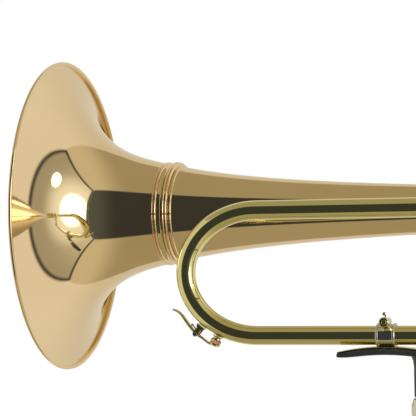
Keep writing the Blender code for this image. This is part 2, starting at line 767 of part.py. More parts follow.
def build_water_key_lever(slide, pin, foot, normal):
    key = pivot("pivot_water_key", pin)
    carry(key, slide)
    cork_start = foot + normal * (NIPPLE_HEIGHT + GAP)
    cup_start = cork_start + normal * (CORK_THICKNESS + GAP)
    cup_end = cup_start + normal * (CUP_HEIGHT / 2) - pin
    line = smooth_line(KEY_LINE + ((cup_end.x, cup_end.z),), 2)
    last = len(line) - 1
    widths = [KEY_TIP_THICKNESS + KEY_BELLY * math.sin(math.pi * i / last) for i in range(last + 1)]
    eye_place = 2 * KEY_LINE.index((0, 0))
    widths[eye_place] = KEY_EYE_THICKNESS
    lever = outline_plate("water_key_lever", ribbon(line, widths), KEY_WIDTH, YELLOW_BRASS, pin)
    eye = rod("eye_cutter", -KEY_WIDTH / 2, KEY_WIDTH / 2, KEY_EYE_RADIUS, YELLOW_BRASS, pin, "Y")
    cup_radius = CORK_RADIUS + CUP_RIM
    cup_line = [(0, CUP_HEIGHT), (cup_radius - CUP_HEIGHT / 1.4, CUP_HEIGHT * 0.9),
                (cup_radius, CUP_WALL), (cup_radius, 0), (0, 0)]
    cup = turned("cup_cutter", cup_line, YELLOW_BRASS, cup_start, "Z", None, SMALL, False)
    joined(lever, eye, stood_on(cup, cup_start, normal))
    hole(lever, "lever_hole", -SHORT_CUT, SHORT_CUT, PIN_RADIUS + GAP, pin, "Y")
    carry(lever, key)
    cork = rod("water_key_cork", 0, CORK_THICKNESS, CORK_RADIUS, CORK, cork_start, "Z")
    carry(stood_on(cork, cork_start, normal), key)
    points = [pin + Vector((x, 0, z)) for x, z in smooth_line(SPRING_LINE, 2)]
    bent_tube("water_key_spring", points, SPRING_RADIUS, None, STEEL, key, 2)


def build_handle(slide):
    tube = LOWER_TUBE_RADIUS + GAP
    skin = tube + COLLAR_WALL
    bead = skin + COLLAR_BEAD
    half = COLLAR_LENGTH / 2
    neck = half - COLLAR_BEAD_WIDTH
    edge = half - COLLAR_BEAD_WIDTH / 2
    centre = Vector((COLLAR_X, 0, -LEG_Z))
    ring = [
        (skin, half), (bead, edge), (skin, neck), (skin, -neck), (bead, -edge), (skin, -half),
        (tube, -half), (tube, half),
    ]
    collar = turned("handle_collar", ring, NICKEL_SILVER, centre, "X", None, ROUND)
    rest_top = -skin - REST_DROP
    top = -skin + COLLAR_WALL / 2
    foot_half = BLOCK_HALF + BLOCK_FOOT
    block = [
        (-BLOCK_HALF, top), (BLOCK_HALF, top), (BLOCK_HALF, rest_top + BLOCK_FOOT),
        (foot_half, rest_top + GAP), (-foot_half, rest_top + GAP), (-BLOCK_HALF, rest_top + BLOCK_FOOT),
    ]
    foot = outline_plate("foot_cutter", block, BLOCK_WIDTH, NICKEL_SILVER, centre)
    screw_centre = centre + Vector((0, 0, COLLAR_SCREW_HEIGHT))
    lug = rod("lug_cutter", -SCREW_HEAD_Y + GAP, LUG_BACK, LUG_RADIUS, NICKEL_SILVER, screw_centre, "Y")
    fin_place = screw_centre + Vector((0, CATCH_THICKNESS - SCREW_HEAD_Y, 0))
    fin = outline_plate("fin_cutter", CATCH_LINE, CATCH_THICKNESS, NICKEL_SILVER, fin_place)
    joined(collar, foot, lug, fin)
    hole(collar, "collar_bore", -SHORT_CUT, SHORT_CUT, tube, centre, "X", ROUND)
    hole(collar, "screw_bore", -SHORT_CUT, SCREW_SHANK_END + LUG_BACK / 4, SCREW_SHANK_RADIUS + TUBE_GAP,
         screw_centre, "Y")
    carry(collar, slide)
    turner = pivot("pivot_collar_screw", screw_centre)
    carry(turner, slide)
    head = -SCREW_HEAD_Y
    front = head - SCREW_HEAD_DEPTH
    radius = COLLAR_SCREW_RADIUS
    screw = [
        (0, SCREW_SHANK_END), (SCREW_SHANK_RADIUS, SCREW_SHANK_END), (SCREW_SHANK_RADIUS, head),
        (radius - SCREW_EDGE, head), (radius, head - SCREW_EDGE), (radius, front + SCREW_EDGE),
        (radius - SCREW_EDGE, front), (radius / 2, head - SCREW_HOLLOW - SCREW_EDGE),
        (0, head - SCREW_HOLLOW),
    ]
    turned("collar_screw", screw, NICKEL_SILVER, screw_centre, "Y", turner, MEDIUM, False)
    build_hand_rest(slide, centre + Vector((0, 0, rest_top)))


def arch(radius, half_length, top, count=BOW_COUNT):
    """Points of an arch from left to right, with its crown at a height."""
    spread = math.asin(half_length / radius)
    found = []
    for i in range(count + 1):
        angle = -spread + 2 * spread * i / count
        found.append((radius * math.sin(angle), top - radius * (1 - math.cos(angle))))
    return found


def build_hand_rest(slide, crown):
    half = REST_LENGTH / 2
    metal_line = arch(REST_ARCH_RADIUS, half, 0) + arch(REST_ARCH_RADIUS, half, -REST_METAL)[::-1]
    outline_plate("hand_rest", metal_line, REST_WIDTH, YELLOW_BRASS, crown, slide)
    pad_top = -REST_METAL - GAP
    under = pad_top - REST_LEATHER
    pad_line = arch(REST_ARCH_RADIUS, half + GAP, pad_top)
    pad_line += arch(REST_UNDER_RADIUS, half - REST_TIP, under)[::-1]
    pad = outline_plate("hand_rest_leather", pad_line, REST_WIDTH + 2 * REST_LIP, LEATHER, crown)
    post_x = POST_X - COLLAR_X
    sag = REST_ARCH_RADIUS * (1 - math.cos(math.asin(post_x / REST_ARCH_RADIUS)))
    top = under - POST_SEAT
    bottom = under - POST_LENGTH
    flare = POST_RADIUS + POST_FILLET
    sleeve_line = [
        (0, top), (flare, top), (flare - POST_FILLET / 7, top - POST_FILLET * 0.4),
        (POST_RADIUS + POST_FILLET * 0.4, top - POST_FILLET * 1.2),
        (POST_RADIUS + POST_FILLET * 0.2, top - POST_FILLET * 2.5),
        (POST_RADIUS, bottom), (0, bottom),
    ]
    post_place = crown + Vector((post_x, 0, 0))
    sleeve = turned("sleeve_cutter", sleeve_line, LEATHER, post_place, "Z", None, ROUND, False)
    joined(pad, sleeve)
    hole(pad, "core_bore", bottom - SHORT_CUT, SHORT_CUT, CORE_RADIUS + GAP, post_place, "Z")
    carry(pad, slide)
    core_top = -REST_METAL - sag - CORE_HEAD_GAP
    ferrule_end = bottom - GAP - FERRULE_LENGTH
    core_end = ferrule_end - CORE_TAIL
    rod("handle_core", core_end, core_top, CORE_RADIUS, YELLOW_BRASS, post_place, "Z", slide)
    build_ferrule(slide, post_place, bottom - GAP, ferrule_end)
    build_grip(slide, post_place, ferrule_end - GAP, core_end)


def build_ferrule(slide, place, top, end):
    foot = FERRULE_RADIUS - FERRULE_STEP
    bore = CORE_RADIUS + GAP
    line = [
        (POST_RADIUS - FERRULE_STEP, top), (POST_RADIUS + FERRULE_STEP, top - FERRULE_STEP),
        (FERRULE_RADIUS, top - FERRULE_TAPER), (FERRULE_RADIUS, end + FERRULE_TAPER),
        (foot, end + 2 * FERRULE_STEP), (foot, end), (bore, end), (bore, top),
    ]
    turned("handle_ferrule", line, YELLOW_BRASS, place, "Z", slide)


def build_grip(slide, place, top, core_end):
    swivel = pivot("pivot_handle_grip", place)
    carry(swivel, slide)
    end = top - GRIP_LENGTH
    neck = FERRULE_RADIUS - FERRULE_STEP / 2
    foot = GRIP_RADIUS - 1.5 * FERRULE_STEP
    outline = [
        (0, top), (neck, top), (neck + 2 * FERRULE_STEP, top - GRIP_NECK),
        (GRIP_RADIUS, top - GRIP_LENGTH * 0.4), (GRIP_RADIUS, top - GRIP_LENGTH * 0.6),
        (foot, end + GRIP_FOOT), (foot, end), (0, end),
    ]
    grip = turned("handle_grip", outline, WOOD, place, "Z", None, ROUND, False)
    hole(grip, "grip_socket", core_end - GAP, top + SHORT_CUT, CORE_RADIUS + GAP, place, "Z")
    carry(grip, swivel)
    cap_top = end - GAP
    cap = [
        (0, cap_top), (foot, cap_top), (foot + FERRULE_STEP / 2, cap_top - CAP_SKIRT),
        (foot - 1.5 * FERRULE_STEP, cap_top - CAP_HEIGHT * 0.6),
        (foot / 2, cap_top - CAP_HEIGHT * 0.9), (0, cap_top - CAP_HEIGHT),
    ]
    turned("handle_cap", cap, YELLOW_BRASS, place, "Z", swivel, ROUND, False)


def build_inner_slide():
    start = BOW_START_X + INNER_TUBE_SETBACK
    shoulder = start + STOCKING_LENGTH
    for name, centre, outer in (("upper_inner_tube", UPPER, INNER_TUBE_RADIUS_UPPER),
                                ("lower_inner_tube", LOWER, INNER_TUBE_RADIUS_LOWER)):
        inner = outer - INNER_TUBE_WALL
        end = INNER_TUBE_END_X
        tail = [(outer, end)]
        if centre is UPPER:
            tail = [(TENON_RADIUS - TENON_TIP, TENON_END_X), (TENON_RADIUS, end + 2 * TENON_SHOULDER),
                    (outer, end + TENON_SHOULDER)]
            end = TENON_END_X
        stocking = outer + STOCKING_HEIGHT
        profile = tail + [
            (outer, shoulder), (stocking, shoulder - STOCKING_TAPER), (stocking, start),
            (inner, start), (inner, end),
        ]
        turned(name, profile, NICKEL_SILVER, centre, "X")
    end_x = BARREL_START_X + BARREL_LENGTH
    step_x = BARREL_START_X + BARREL_CAVITY
    for name, centre, outer, inner in (
            ("upper_cork_barrel", UPPER, UPPER_TUBE_RADIUS, INNER_TUBE_RADIUS_UPPER),
            ("lower_cork_barrel", LOWER, LOWER_TUBE_RADIUS, INNER_TUBE_RADIUS_LOWER)):
        cavity = outer + BARREL_CLEARANCE
        seat = inner + GAP
        profile = [
            (BARREL_RADIUS - BARREL_NOSE, end_x), (BARREL_RADIUS, end_x - 3 * BARREL_NOSE),
            (BARREL_RADIUS, BARREL_START_X), (cavity, BARREL_START_X), (cavity, step_x),
            (seat, step_x), (seat, end_x),
        ]
        turned(name, profile, NICKEL_SILVER, centre, "X")
    brace_rod("hand_grip_brace", Vector((0, 0, 0)), "Z", -LEG_Z + INNER_TUBE_RADIUS_LOWER,
              LEG_Z - INNER_TUBE_RADIUS_UPPER, GRIP_ROD_RADIUS, NICKEL_SILVER)
    build_slide_lock()


def build_slide_lock():
    lock = pivot("pivot_slide_lock", LOWER)
    inside = BARREL_RADIUS + GAP
    outside = inside + LOCK_WALL
    start = BARREL_START_X + LOCK_OFFSET
    end = start + LOCK_LENGTH
    ring = [
        (outside - LOCK_EDGE, end), (outside, end - LOCK_CHAMFER), (outside, start + LOCK_CHAMFER),
        (outside - LOCK_EDGE, start), (inside, start), (inside, end),
    ]
    lock_ring = turned("slide_lock_ring", ring, NICKEL_SILVER, LOWER, "X", None, MEDIUM)
    tab = rod("tab_cutter", -inside - LOCK_TAB_END, -inside - LOCK_TAB_START, LOCK_TAB_RADIUS, NICKEL_SILVER,
              LOWER + Vector(((start + end) / 2, 0, 0)), "Y", None, ROUND)
    carry(joined(lock_ring, tab), lock)


def build_mouthpiece():
    start = INNER_TUBE_END_X - MOUTH_RECEIVER_OVERLAP
    end = start + MOUTH_RECEIVER_LENGTH
    over = INNER_TUBE_RADIUS_LOWER + GAP
    outer = over + MOUTH_RECEIVER_WALL
    ring = outer + MOUTH_RECEIVER_RING
    ring_start = end - MOUTH_RECEIVER_RING_LENGTH
    receiver = [
        (ring, end), (ring, ring_start + MOUTH_RECEIVER_RING), (outer, ring_start),
        (outer, start + 2 * MOUTH_RECEIVER_RING), (outer - MOUTH_RECEIVER_RING, start),
        (over, start), (over, end),
    ]
    turned("mouthpiece_receiver", receiver, NICKEL_SILVER, LOWER, "X")
    puller = pivot("pivot_mouthpiece", LOWER)
    shank = over - GAP
    nose = INNER_TUBE_END_X + GAP + MOUTHPIECE_NOSE
    rim = end + MOUTHPIECE_LENGTH
    cup = MOUTHPIECE_CUP_RADIUS
    shell = cup + MOUTHPIECE_SHELL
    wide = cup + MOUTHPIECE_RIM
    bore = MOUTHPIECE_THROAT
    outside = [
        (cup, rim), (wide - MOUTHPIECE_RIM / 3, rim - MOUTHPIECE_RIM / 7),
        (wide, rim - MOUTHPIECE_RIM * 0.7), (shell, rim - MOUTHPIECE_RIM * 1.6),
        (shell, rim - MOUTHPIECE_LENGTH * 0.20), (cup, rim - MOUTHPIECE_LENGTH * 0.33),
        (cup * 0.66, rim - MOUTHPIECE_LENGTH * 0.47), (cup * 0.57, rim - MOUTHPIECE_LENGTH * 0.55),
        (cup * 0.59, end + MOUTHPIECE_LENGTH * 0.27), (shank, end), (shank - TUBE_GAP, nose),
    ]
    inside = [
        (MOUTHPIECE_BACKBORE + TUBE_GAP, nose), (MOUTHPIECE_BACKBORE, end + MOUTHPIECE_LENGTH * 0.09),
        (bore, rim - MOUTHPIECE_LENGTH / 2), (bore, rim - MOUTHPIECE_LENGTH * 0.41),
        (cup / 2, rim - MOUTHPIECE_LENGTH / 3), (cup * 0.79, rim - MOUTHPIECE_LENGTH * 0.21),
        (cup * 0.94, rim - MOUTHPIECE_LENGTH * 0.08),
    ]
    turned("mouthpiece", outside + inside, SILVER, LOWER, "X", puller)


def build_bell_lock():
    thread = RECEIVER_BORE + RECEIVER_WALL + THREAD_HEIGHT
    plain = RECEIVER_BORE + RECEIVER_WALL
    thread_end = RECEIVER_START_X + THREAD_LENGTH
    inside = [
        (plain, RECEIVER_END_X), (plain, thread_end + THREAD_RELIEF), (thread, thread_end),
        (thread, RECEIVER_START_X), (RECEIVER_BORE, RECEIVER_START_X), (RECEIVER_BORE, RECEIVER_END_X),
    ]
    turned("bell_receiver", inside, NICKEL_SILVER, UPPER, "X")
    nut = pivot("pivot_bell_lock", UPPER)
    over = thread + GAP
    outer = over + NUT_WALL
    start = INNER_TUBE_END_X + NUT_START
    lip = RECEIVER_START_X - GAP
    end = RECEIVER_START_X + NUT_OVERLAP
    bore = TENON_RADIUS + GAP
    profile = [
        (outer - THREAD_HEIGHT, end), (outer, end - THREAD_RELIEF), (outer, start + NUT_TAPER_LENGTH),
        (outer - NUT_TAPER, start), (bore, start), (bore, lip), (over, lip), (over, end),
    ]
    turned("bell_lock_nut", profile, NICKEL_SILVER, UPPER, "X", nut)


def build_tuning_slide():
    sleeve_in = TUNING_LEG_RADIUS + TUBE_GAP
    sleeve_out = sleeve_in + SLEEVE_WALL
    ring = sleeve_out + SLEEVE_RING
    mouth = TUNING_BOW_X - TUNING_LEAD - GAP
    stem_end = RIM_X + STEM_START + STEM_LENGTH
    seat_start = stem_end - STEM_SEAT
    seat = flare_radius(seat_start - RIM_X) + GAP
    gooseneck = VALVE_X[1] + CASING_RADIUS + STUB_LENGTH
    for name, centre, start, front, front_end, sides in (
            ("stem_tuning_sleeve", BELL_AXIS, seat_start, seat, seat_start + STEM_SEAT_LENGTH, MEDIUM),
            ("gooseneck_tuning_sleeve", UPPER, gooseneck - GOOSENECK_SEAT, STUB_RADIUS + TUBE_GAP,
             gooseneck + GOOSENECK_SEAT_END, ROUND)):
        ring_end = start + SLEEVE_FRONT_RING
        profile = [
            (ring, mouth), (ring, mouth - SLEEVE_RING_LENGTH),
            (sleeve_out, mouth - SLEEVE_RING_LENGTH - SLEEVE_STEP),
            (sleeve_out, ring_end), (ring, ring_end - SLEEVE_STEP), (ring, start + SLEEVE_WALL),
            (front + SLEEVE_WALL, start), (front, start), (front, front_end), (sleeve_in, front_end),
            (sleeve_in, mouth),
        ]
        turned(name, profile, YELLOW_BRASS, centre, "X", None, sides)
    tuning = pivot("pivot_main_tuning", Vector((0, 0, 0)))
    for name, centre in (("bell_side_tuning_leg", BELL_AXIS), ("gooseneck_side_tuning_leg", UPPER)):
        pipe(name, TUNING_BOW_X - TUNING_LEG_INSERT, TUNING_BOW_X - GAP, TUNING_LEG_RADIUS,
             TUNING_LEG_RADIUS - TUNING_WALL, NICKEL_SILVER, centre, "X", tuning)
    bow_between("main_tuning_bow", TUNING_BOW_X, BELL_Y / 2, UPPER, BELL_AXIS, sleeve_out,
                TUNING_WALL, YELLOW_BRASS, tuning, TUNING_LEAD, 1, TUNING_BOW_COUNT)
    middle = Vector((TUNING_BOW_X - TUNING_LEAD / 2, 0, LEG_Z))
    brace_rod("main_tuning_brace", middle, "Y", sleeve_out, BELL_Y - sleeve_out,
              TUNING_BRACE_RADIUS, YELLOW_BRASS, tuning)
    brace_rod("rear_bell_brace", Vector((REAR_BRACE_X, 0, LEG_Z)), "Y", sleeve_out,
              BELL_Y - sleeve_out, REAR_BRACE_RADIUS, YELLOW_BRASS)


def build_front_brace():
    low = RECEIVER_BORE + RECEIVER_WALL + GAP
    high = flare_radius(FRONT_BRACE_X - RIM_X) + GAP
    corner = BRACE_CROWN - BRACE_BEND
    start = Vector((FRONT_BRACE_X, 0, LEG_Z))
    end = Vector((FRONT_BRACE_X, BELL_Y, LEG_Z))
    up = Vector((0, 0, 1))
    across = Vector((0, 1, 0))
    points = [start + up * (low + BRACE_SINK), start + up * corner]
    points += arc_points(start + up * corner + across * BRACE_BEND, BRACE_BEND, BRACE_BEND, 180, 90,
                         BEND_COUNT, across, up)[1:]
    points += arc_points(end + up * corner - across * BRACE_BEND, BRACE_BEND, BRACE_BEND, 90, 0,
                         BEND_COUNT, across, up)
    points.append(end + up * (high + BRACE_SINK))
    brace = bent_tube("front_bell_brace", points, BRACE_ROD_RADIUS, None, YELLOW_BRASS, None, 3)
    feet = [rod("foot_cutter", 0, BRACE_PAD_HEIGHT, BRACE_PAD_RADIUS, YELLOW_BRASS, place, "Z")
            for place in (start + up * low, end + up * high)]
    joined(brace, *feet)


def build_casing(number, centre, ports):
    """A cup with its stubs, bored through for the main tube and for both ends of its loop."""
    half = CASING_HEIGHT / 2
    inside = CASING_RADIUS - CASING_WALL
    cup = [
        (0, half), (CASING_RADIUS - CASING_EDGE, half), (CASING_RADIUS, half - CASING_EDGE),
        (CASING_RADIUS, CASING_FOOT - half), (CASING_RADIUS - CASING_FOOT, -half), (0, -half),
    ]
    casing = turned(f"valve_{number}_casing", cup, YELLOW_BRASS, centre, "Z", None, MEDIUM, False)
    front = CASING_RADIUS + STUB_LENGTH
    rear = front
    if number == 1:
        rear = VALVE_X[1] - VALVE_X[0] - front - GAP
    joined(casing, rod("main_stub", -front, rear, STUB_RADIUS, YELLOW_BRASS, centre, "X", None,
                       BORE_SIDES, HALF_BORE_STEP))
    for place in ports:
        joined(casing, rod("loop_stub", LOOP_STUB_START, front, LOOP_STUB_RADIUS, YELLOW_BRASS, place,
                           "Y", None, BORE_SIDES, HALF_BORE_STEP))
    hole(casing, "chamber", CASING_FLOOR - half, half + SHORT_CUT, inside, centre, "Z", MEDIUM)
    hole(casing, "main_bore", -CUT, CUT, BORE_RADIUS, centre, "X", BORE_SIDES, HALF_BORE_STEP)
    for place in ports:
        hole(casing, "loop_bore", LOOP_BORE_START, CUT, BORE_RADIUS, place, "Y", BORE_SIDES, HALF_BORE_STEP)
    for change in casing.modifiers:
        change.solver = "MANIFOLD"    # the exact one leaves open edges where the bores cross the chamber


def build_rotor(number, centre, turner, arm_start, arm_end):
    """A bored drum whose two scoops turn the air into the loop, on a shaft through the plate."""
    half = CASING_HEIGHT / 2
    body = CASING_RADIUS - CASING_WALL - ROTOR_GAP
    floor = CASING_FLOOR - half + GAP
    top = half - ROTOR_TOP
    tip = arm_end + GAP
    core = [
        (0, tip), (SHAFT_TIP_RADIUS, tip), (SHAFT_TIP_RADIUS, arm_start - GAP),
        (SHAFT_RADIUS, arm_start - GAP), (SHAFT_RADIUS, top), (body, top), (body, floor), (0, floor),
    ]
    rotor = turned(f"valve_{number}_rotor", core, NICKEL_SILVER, centre, "Z", None, MEDIUM, False)
    hole(rotor, "rotor_bore", -CUT, CUT, BORE_RADIUS, centre, "X", BORE_SIDES, HALF_BORE_STEP)
    for side in (-1, 1):
        hole(rotor, "rotor_scoop", -CUT, CUT, BORE_RADIUS,
             centre + Vector((0, side * (body + SCOOP_OFFSET), 0)), "X", BORE_SIDES, HALF_BORE_STEP)
    carry(rotor, turner)


def build_valve(number):
    side = 1 if number == 1 else -1
    centre = Vector((VALVE_X[number - 1], 0, LEG_Z))
    lift = Vector((0, 0, -side * LOOP_LIFT))
    ports = [centre + lift + Vector((spread, 0, 0)) for spread in (-LOOP_PORT_SPREAD, LOOP_PORT_SPREAD)]
    build_casing(number, centre, ports)
    plate_start = CASING_HEIGHT / 2 + GAP
    plate_end = plate_start + PLATE_THICKNESS
    hub_end = plate_end + PLATE_HUB_HEIGHT
    hub = SHAFT_RADIUS + PLATE_HUB
    bore = SHAFT_RADIUS + GAP
    plate = [
        (hub, hub_end), (hub, plate_end), (CASING_RADIUS - 1.5 * CASING_EDGE, plate_end),
        (CASING_RADIUS - CASING_EDGE / 2, plate_start), (bore, plate_start), (bore, hub_end),
    ]
    turned(f"valve_{number}_bearing_plate", plate, YELLOW_BRASS, centre, "Z", None, MEDIUM)
    turner = pivot(f"pivot_rotor_{number}", centre)
    arm_start = hub_end + GAP
    arm_end = arm_start + STOP_ARM_THICKNESS
    build_rotor(number, centre, turner, arm_start, arm_end)
    reach = Vector((-STOP_ARM_RADIUS, side * STOP_ARM_RADIUS)) * math.sqrt(0.5)
    tip = reach * STOP_ARM_TIP
    line = [(0, 0), (reach.x / 2, reach.y / 2), (tip.x, tip.y)]
    arm_place = centre + Vector((0, 0, (arm_start + arm_end) / 2))
    arm = outline_plate(f"valve_{number}_stop_arm", ribbon(line, STOP_ARM_WIDTHS), STOP_ARM_THICKNESS,
                        YELLOW_BRASS, arm_place, None, True)
    joined(arm, rod("hub_cutter", arm_start, arm_end, STOP_HUB_RADIUS, YELLOW_BRASS, centre, "Z"))
    hole(arm, "arm_hole", -CUT, CUT, SHAFT_TIP_RADIUS + TUBE_GAP, centre, "Z")
    carry(arm, turner)
    build_loop(number, ports)
    ball_height = arm_end + GAP + LINK_BALL
    build_lever(number, side)
    build_link(number, side, centre + Vector((reach.x, reach.y, ball_height)))


def build_loop(number, ports):
    end_x = LOOP_END_X[number - 1]
    along = Vector((1, 0, 0))
    across = Vector((0, 1, 0))
    start_y = CASING_RADIUS + STUB_LENGTH + GAP
    ends = []
    for name, port, leg_y, bend in (("inner", ports[0], LOOP_INNER_Y, LOOP_INNER_BEND),
                                    ("outer", ports[1], LOOP_OUTER_Y, LOOP_OUTER_BEND)):
        corner = port - along * bend + across * (leg_y - bend)
        points = [port + across * start_y]
        points += arc_points(corner, bend, bend, 0, 90, BEND_COUNT, along, across)
        points.append(Vector((end_x, leg_y, port.z)))
        ends.append(points[-1])
        bent_tube(f"valve_{number}_{name}_loop_tube", points, LOOP_RADIUS, LOOP_WALL, YELLOW_BRASS, None,
                  LOOP_SIDES_STEP)
    slide = pivot(f"pivot_valve_{number}_slide", Vector((0, 0, 0)))
    bow = bow_between(f"valve_{number}_tuning_slide", end_x - GAP - BOW_LEAD, (LOOP_OUTER_Y - LOOP_INNER_Y) / 2,
                      ends[0], ends[1], LOOP_RADIUS, LOOP_SLIDE_WALL, YELLOW_BRASS, None, BOW_LEAD, -1,
                      LOOP_BOW_COUNT, LOOP_SIDES_STEP)
    leg = LOOP_RADIUS - LOOP_WALL - TUBE_GAP
    for place in ends:
        joined(bow, pipe("leg_cutter", -LOOP_LEG_ROOT, LOOP_LEG_INSERT, leg, leg - LOOP_WALL,
                         NICKEL_SILVER, place, "X", None, SMALL))
    carry(bow, slide)


def build_lever(number, side):
    hinge = Vector((LEVER_X, side * LEVER_Y, LEG_Z))
    inner_face = LEVER_Y - LEVER_THICKNESS / 2 - GAP
    outer_face = LEVER_Y + LEVER_THICKNESS / 2 + GAP
    foot = RECEIVER_BORE + RECEIVER_WALL + GAP
    pin = LEVER_PIN_RADIUS
    head = pin + POST_HEAD
    head_end = outer_face + POST_HEAD_HEIGHT
    post = [
        (0, head_end), (head, head_end), (head, outer_face), (pin, outer_face), (pin, inner_face),
        (head, inner_face), (head, foot + 2 * THREAD_RELIEF), (POST_FOOT_RADIUS, foot + THREAD_RELIEF),
        (POST_FOOT_RADIUS, foot), (0, foot),
    ]
    stand = turned(f"lever_{number}_post", post, YELLOW_BRASS, Vector((LEVER_X, 0, LEG_Z)), "Y", None,
                   SMALL, False)
    if side < 0:
        stand.matrix_world = stand.matrix_world @ Matrix.Rotation(math.pi, 4, "X")
    turner = pivot(f"pivot_lever_{number}", hinge)
    top = lever_top()
    middle = [top, (top[0] / 2, top[1] / 2), (0, 0), (PADDLE_X / 7, -0.35 * PADDLE_REACH),
              (PADDLE_X * 0.7, -0.7 * PADDLE_REACH), (PADDLE_X, -PADDLE_REACH)]
    line = smooth_line(middle, 2)
    widths = [LEVER_WIDTH + LEVER_SWELL * math.exp(-(4 - i) ** 2 / 4) for i in range(len(line))]
    lever = outline_plate(f"thumb_lever_{number}", ribbon(line, widths), LEVER_THICKNESS, YELLOW_BRASS, hinge)
    paddle = turned("paddle_cutter", PADDLE_LINE, YELLOW_BRASS,
                    hinge + Vector((PADDLE_X, 0, -PADDLE_REACH)), "X", None, ROUND, False)
    half = LEVER_THICKNESS / 2
    hub = rod("hub_cutter", -half, half, LEVER_HUB_RADIUS, YELLOW_BRASS, hinge, "Y")
    joined(lever, paddle, hub)
    hole(lever, "lever_hole", -SHORT_CUT, SHORT_CUT, pin + GAP, hinge, "Y")
    carry(lever, turner)


def lever_top():
    """X and Z of the link's ball from the lever's hinge, at rest."""
    tilt = LEVER_TURN / 2
    return -LEVER_ARM * math.sin(tilt), LEVER_ARM * math.cos(tilt)


def build_link(number, side, far):
    """A straight wire with a ball at each end, from the lever to the stop arm."""
    slider = pivot(f"pivot_link_{number}", Vector((0, 0, 0)))
    beside = LEVER_Y - LEVER_THICKNESS / 2 - GAP - LINK_BALL
    near = Vector((LEVER_X + lever_top()[0], side * beside, far.z))
    link = bent_tube(f"valve_{number}_link", [near, near.lerp(far, 0.5), far], LINK_RADIUS, None, STEEL,
                     None, 2)
    balls = []
    for place in (near, far):
        bpy.ops.mesh.primitive_uv_sphere_add(segments=8, ring_count=6, radius=LINK_BALL, location=place)
        ball = bpy.context.active_object
        ball.name = "ball_cutter"
        balls.append(ball)
    joined(link, *balls)
    carry(link, slider)


def main():
    build_bell()
    build_ring_joint()
    slide = build_outer_slide()
    build_water_key(slide)
    build_handle(slide)
    build_inner_slide()
    build_mouthpiece()
    build_bell_lock()
    build_tuning_slide()
    build_front_brace()
    for number in (1, 2):
        build_valve(number)


main()
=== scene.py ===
import json
import math

import bmesh
import bpy
from mathutils import Matrix, Vector


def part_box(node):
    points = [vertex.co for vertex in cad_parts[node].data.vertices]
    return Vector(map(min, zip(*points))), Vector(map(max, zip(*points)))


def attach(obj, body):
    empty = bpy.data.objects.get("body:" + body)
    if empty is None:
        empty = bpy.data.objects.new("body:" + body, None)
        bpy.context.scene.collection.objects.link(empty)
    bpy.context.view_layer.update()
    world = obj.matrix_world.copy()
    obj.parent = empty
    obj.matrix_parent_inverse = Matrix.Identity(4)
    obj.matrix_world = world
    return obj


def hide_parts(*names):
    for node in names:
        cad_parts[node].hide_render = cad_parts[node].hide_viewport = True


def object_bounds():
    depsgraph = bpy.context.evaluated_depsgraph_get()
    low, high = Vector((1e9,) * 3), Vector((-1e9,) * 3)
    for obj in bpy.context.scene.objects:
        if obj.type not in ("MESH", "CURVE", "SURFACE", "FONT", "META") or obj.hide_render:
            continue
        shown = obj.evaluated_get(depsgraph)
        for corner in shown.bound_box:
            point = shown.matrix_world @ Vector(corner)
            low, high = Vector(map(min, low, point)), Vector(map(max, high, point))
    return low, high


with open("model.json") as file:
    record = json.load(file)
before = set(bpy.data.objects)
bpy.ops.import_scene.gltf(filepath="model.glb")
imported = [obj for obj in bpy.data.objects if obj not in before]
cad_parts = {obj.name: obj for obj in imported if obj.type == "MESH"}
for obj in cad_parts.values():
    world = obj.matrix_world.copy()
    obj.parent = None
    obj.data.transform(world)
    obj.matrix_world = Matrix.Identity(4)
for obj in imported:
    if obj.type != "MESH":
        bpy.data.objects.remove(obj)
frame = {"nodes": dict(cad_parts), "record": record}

# The looks of a contrabass trombone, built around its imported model. Metres, +Z up.
# X runs from the bell mouth to the main tuning slide, and -Y is the side the camera is on.

CAD_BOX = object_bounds()
BODY_OF = {node: body for body, nodes in frame["record"]["behaviour"]["bodies"].items() for node in nodes}
X_AXIS, Y_AXIS, Z_AXIS = Vector((1, 0, 0)), Vector((0, 1, 0)), Vector((0, 0, 1))

# Camera, from a fit of the bell rim, the slide legs and the collar to the photograph. Radians.
IMAGE_SIZE = 416
FOCAL_PIXELS = 2200
SENSOR = 36.0
CAMERA_BEHIND_MOUTH = 0.7372   # along X from the bell mouth
CAMERA_DISTANCE = 1.8982       # from the bell axis
CAMERA_HEIGHT = -0.0199        # above the bell axis
CAMERA_YAW = 0.30633
CAMERA_PITCH = 0.01234
CAMERA_ROLL = -0.01498
CAMERA_REACH = 50

# Roundness of the fine pieces
BELL_STEPS = 224
STEM_STEPS = 160
TURN_STEPS = 96
SMALL_STEPS = 64
TUBE_SIDES = 48
SHEET_STATIONS = 72            # along the flare, and along the stem
BEAD_STEPS = 10
EDGE = 0.00025                 # radius on a turned edge
SMOOTH_ANGLE = math.radians(38)
SOFT_ANGLE = math.radians(40)  # a sharper edge of a dressed node is rounded
KEPT_ANGLE = math.radians(20)  # a gentler corner of a profile stays as it is
FLAT_ANGLE = math.radians(1)
WELD = 0.000002
SAME_LINE = 0.00001

FINISH = "finish_"             # goes before a material's own name in its full name

# Floor and lamps
FLOOR_DROP = 0.16              # from the lowest point of the object to the floor
FLOOR_SIZE = 16.0
FLOOR_PARTS = 8
FLOOR_COLOUR = (0.86, 0.86, 0.86)
SHADOW_REACH = 1.0             # around the object, where the floor shows its shadow
SHADOW_END = 2.4
FLOOR_GLOW = 0.70              # share of plain white near the object
LAMPS = (                      # name, place from the object's middle, size, watts
    ("key", (-1.6, -1.8, 1.2), (0.9, 0.9), 26),
    ("top", (0.2, -0.2, 1.9), (2.2, 1.2), 22),
)

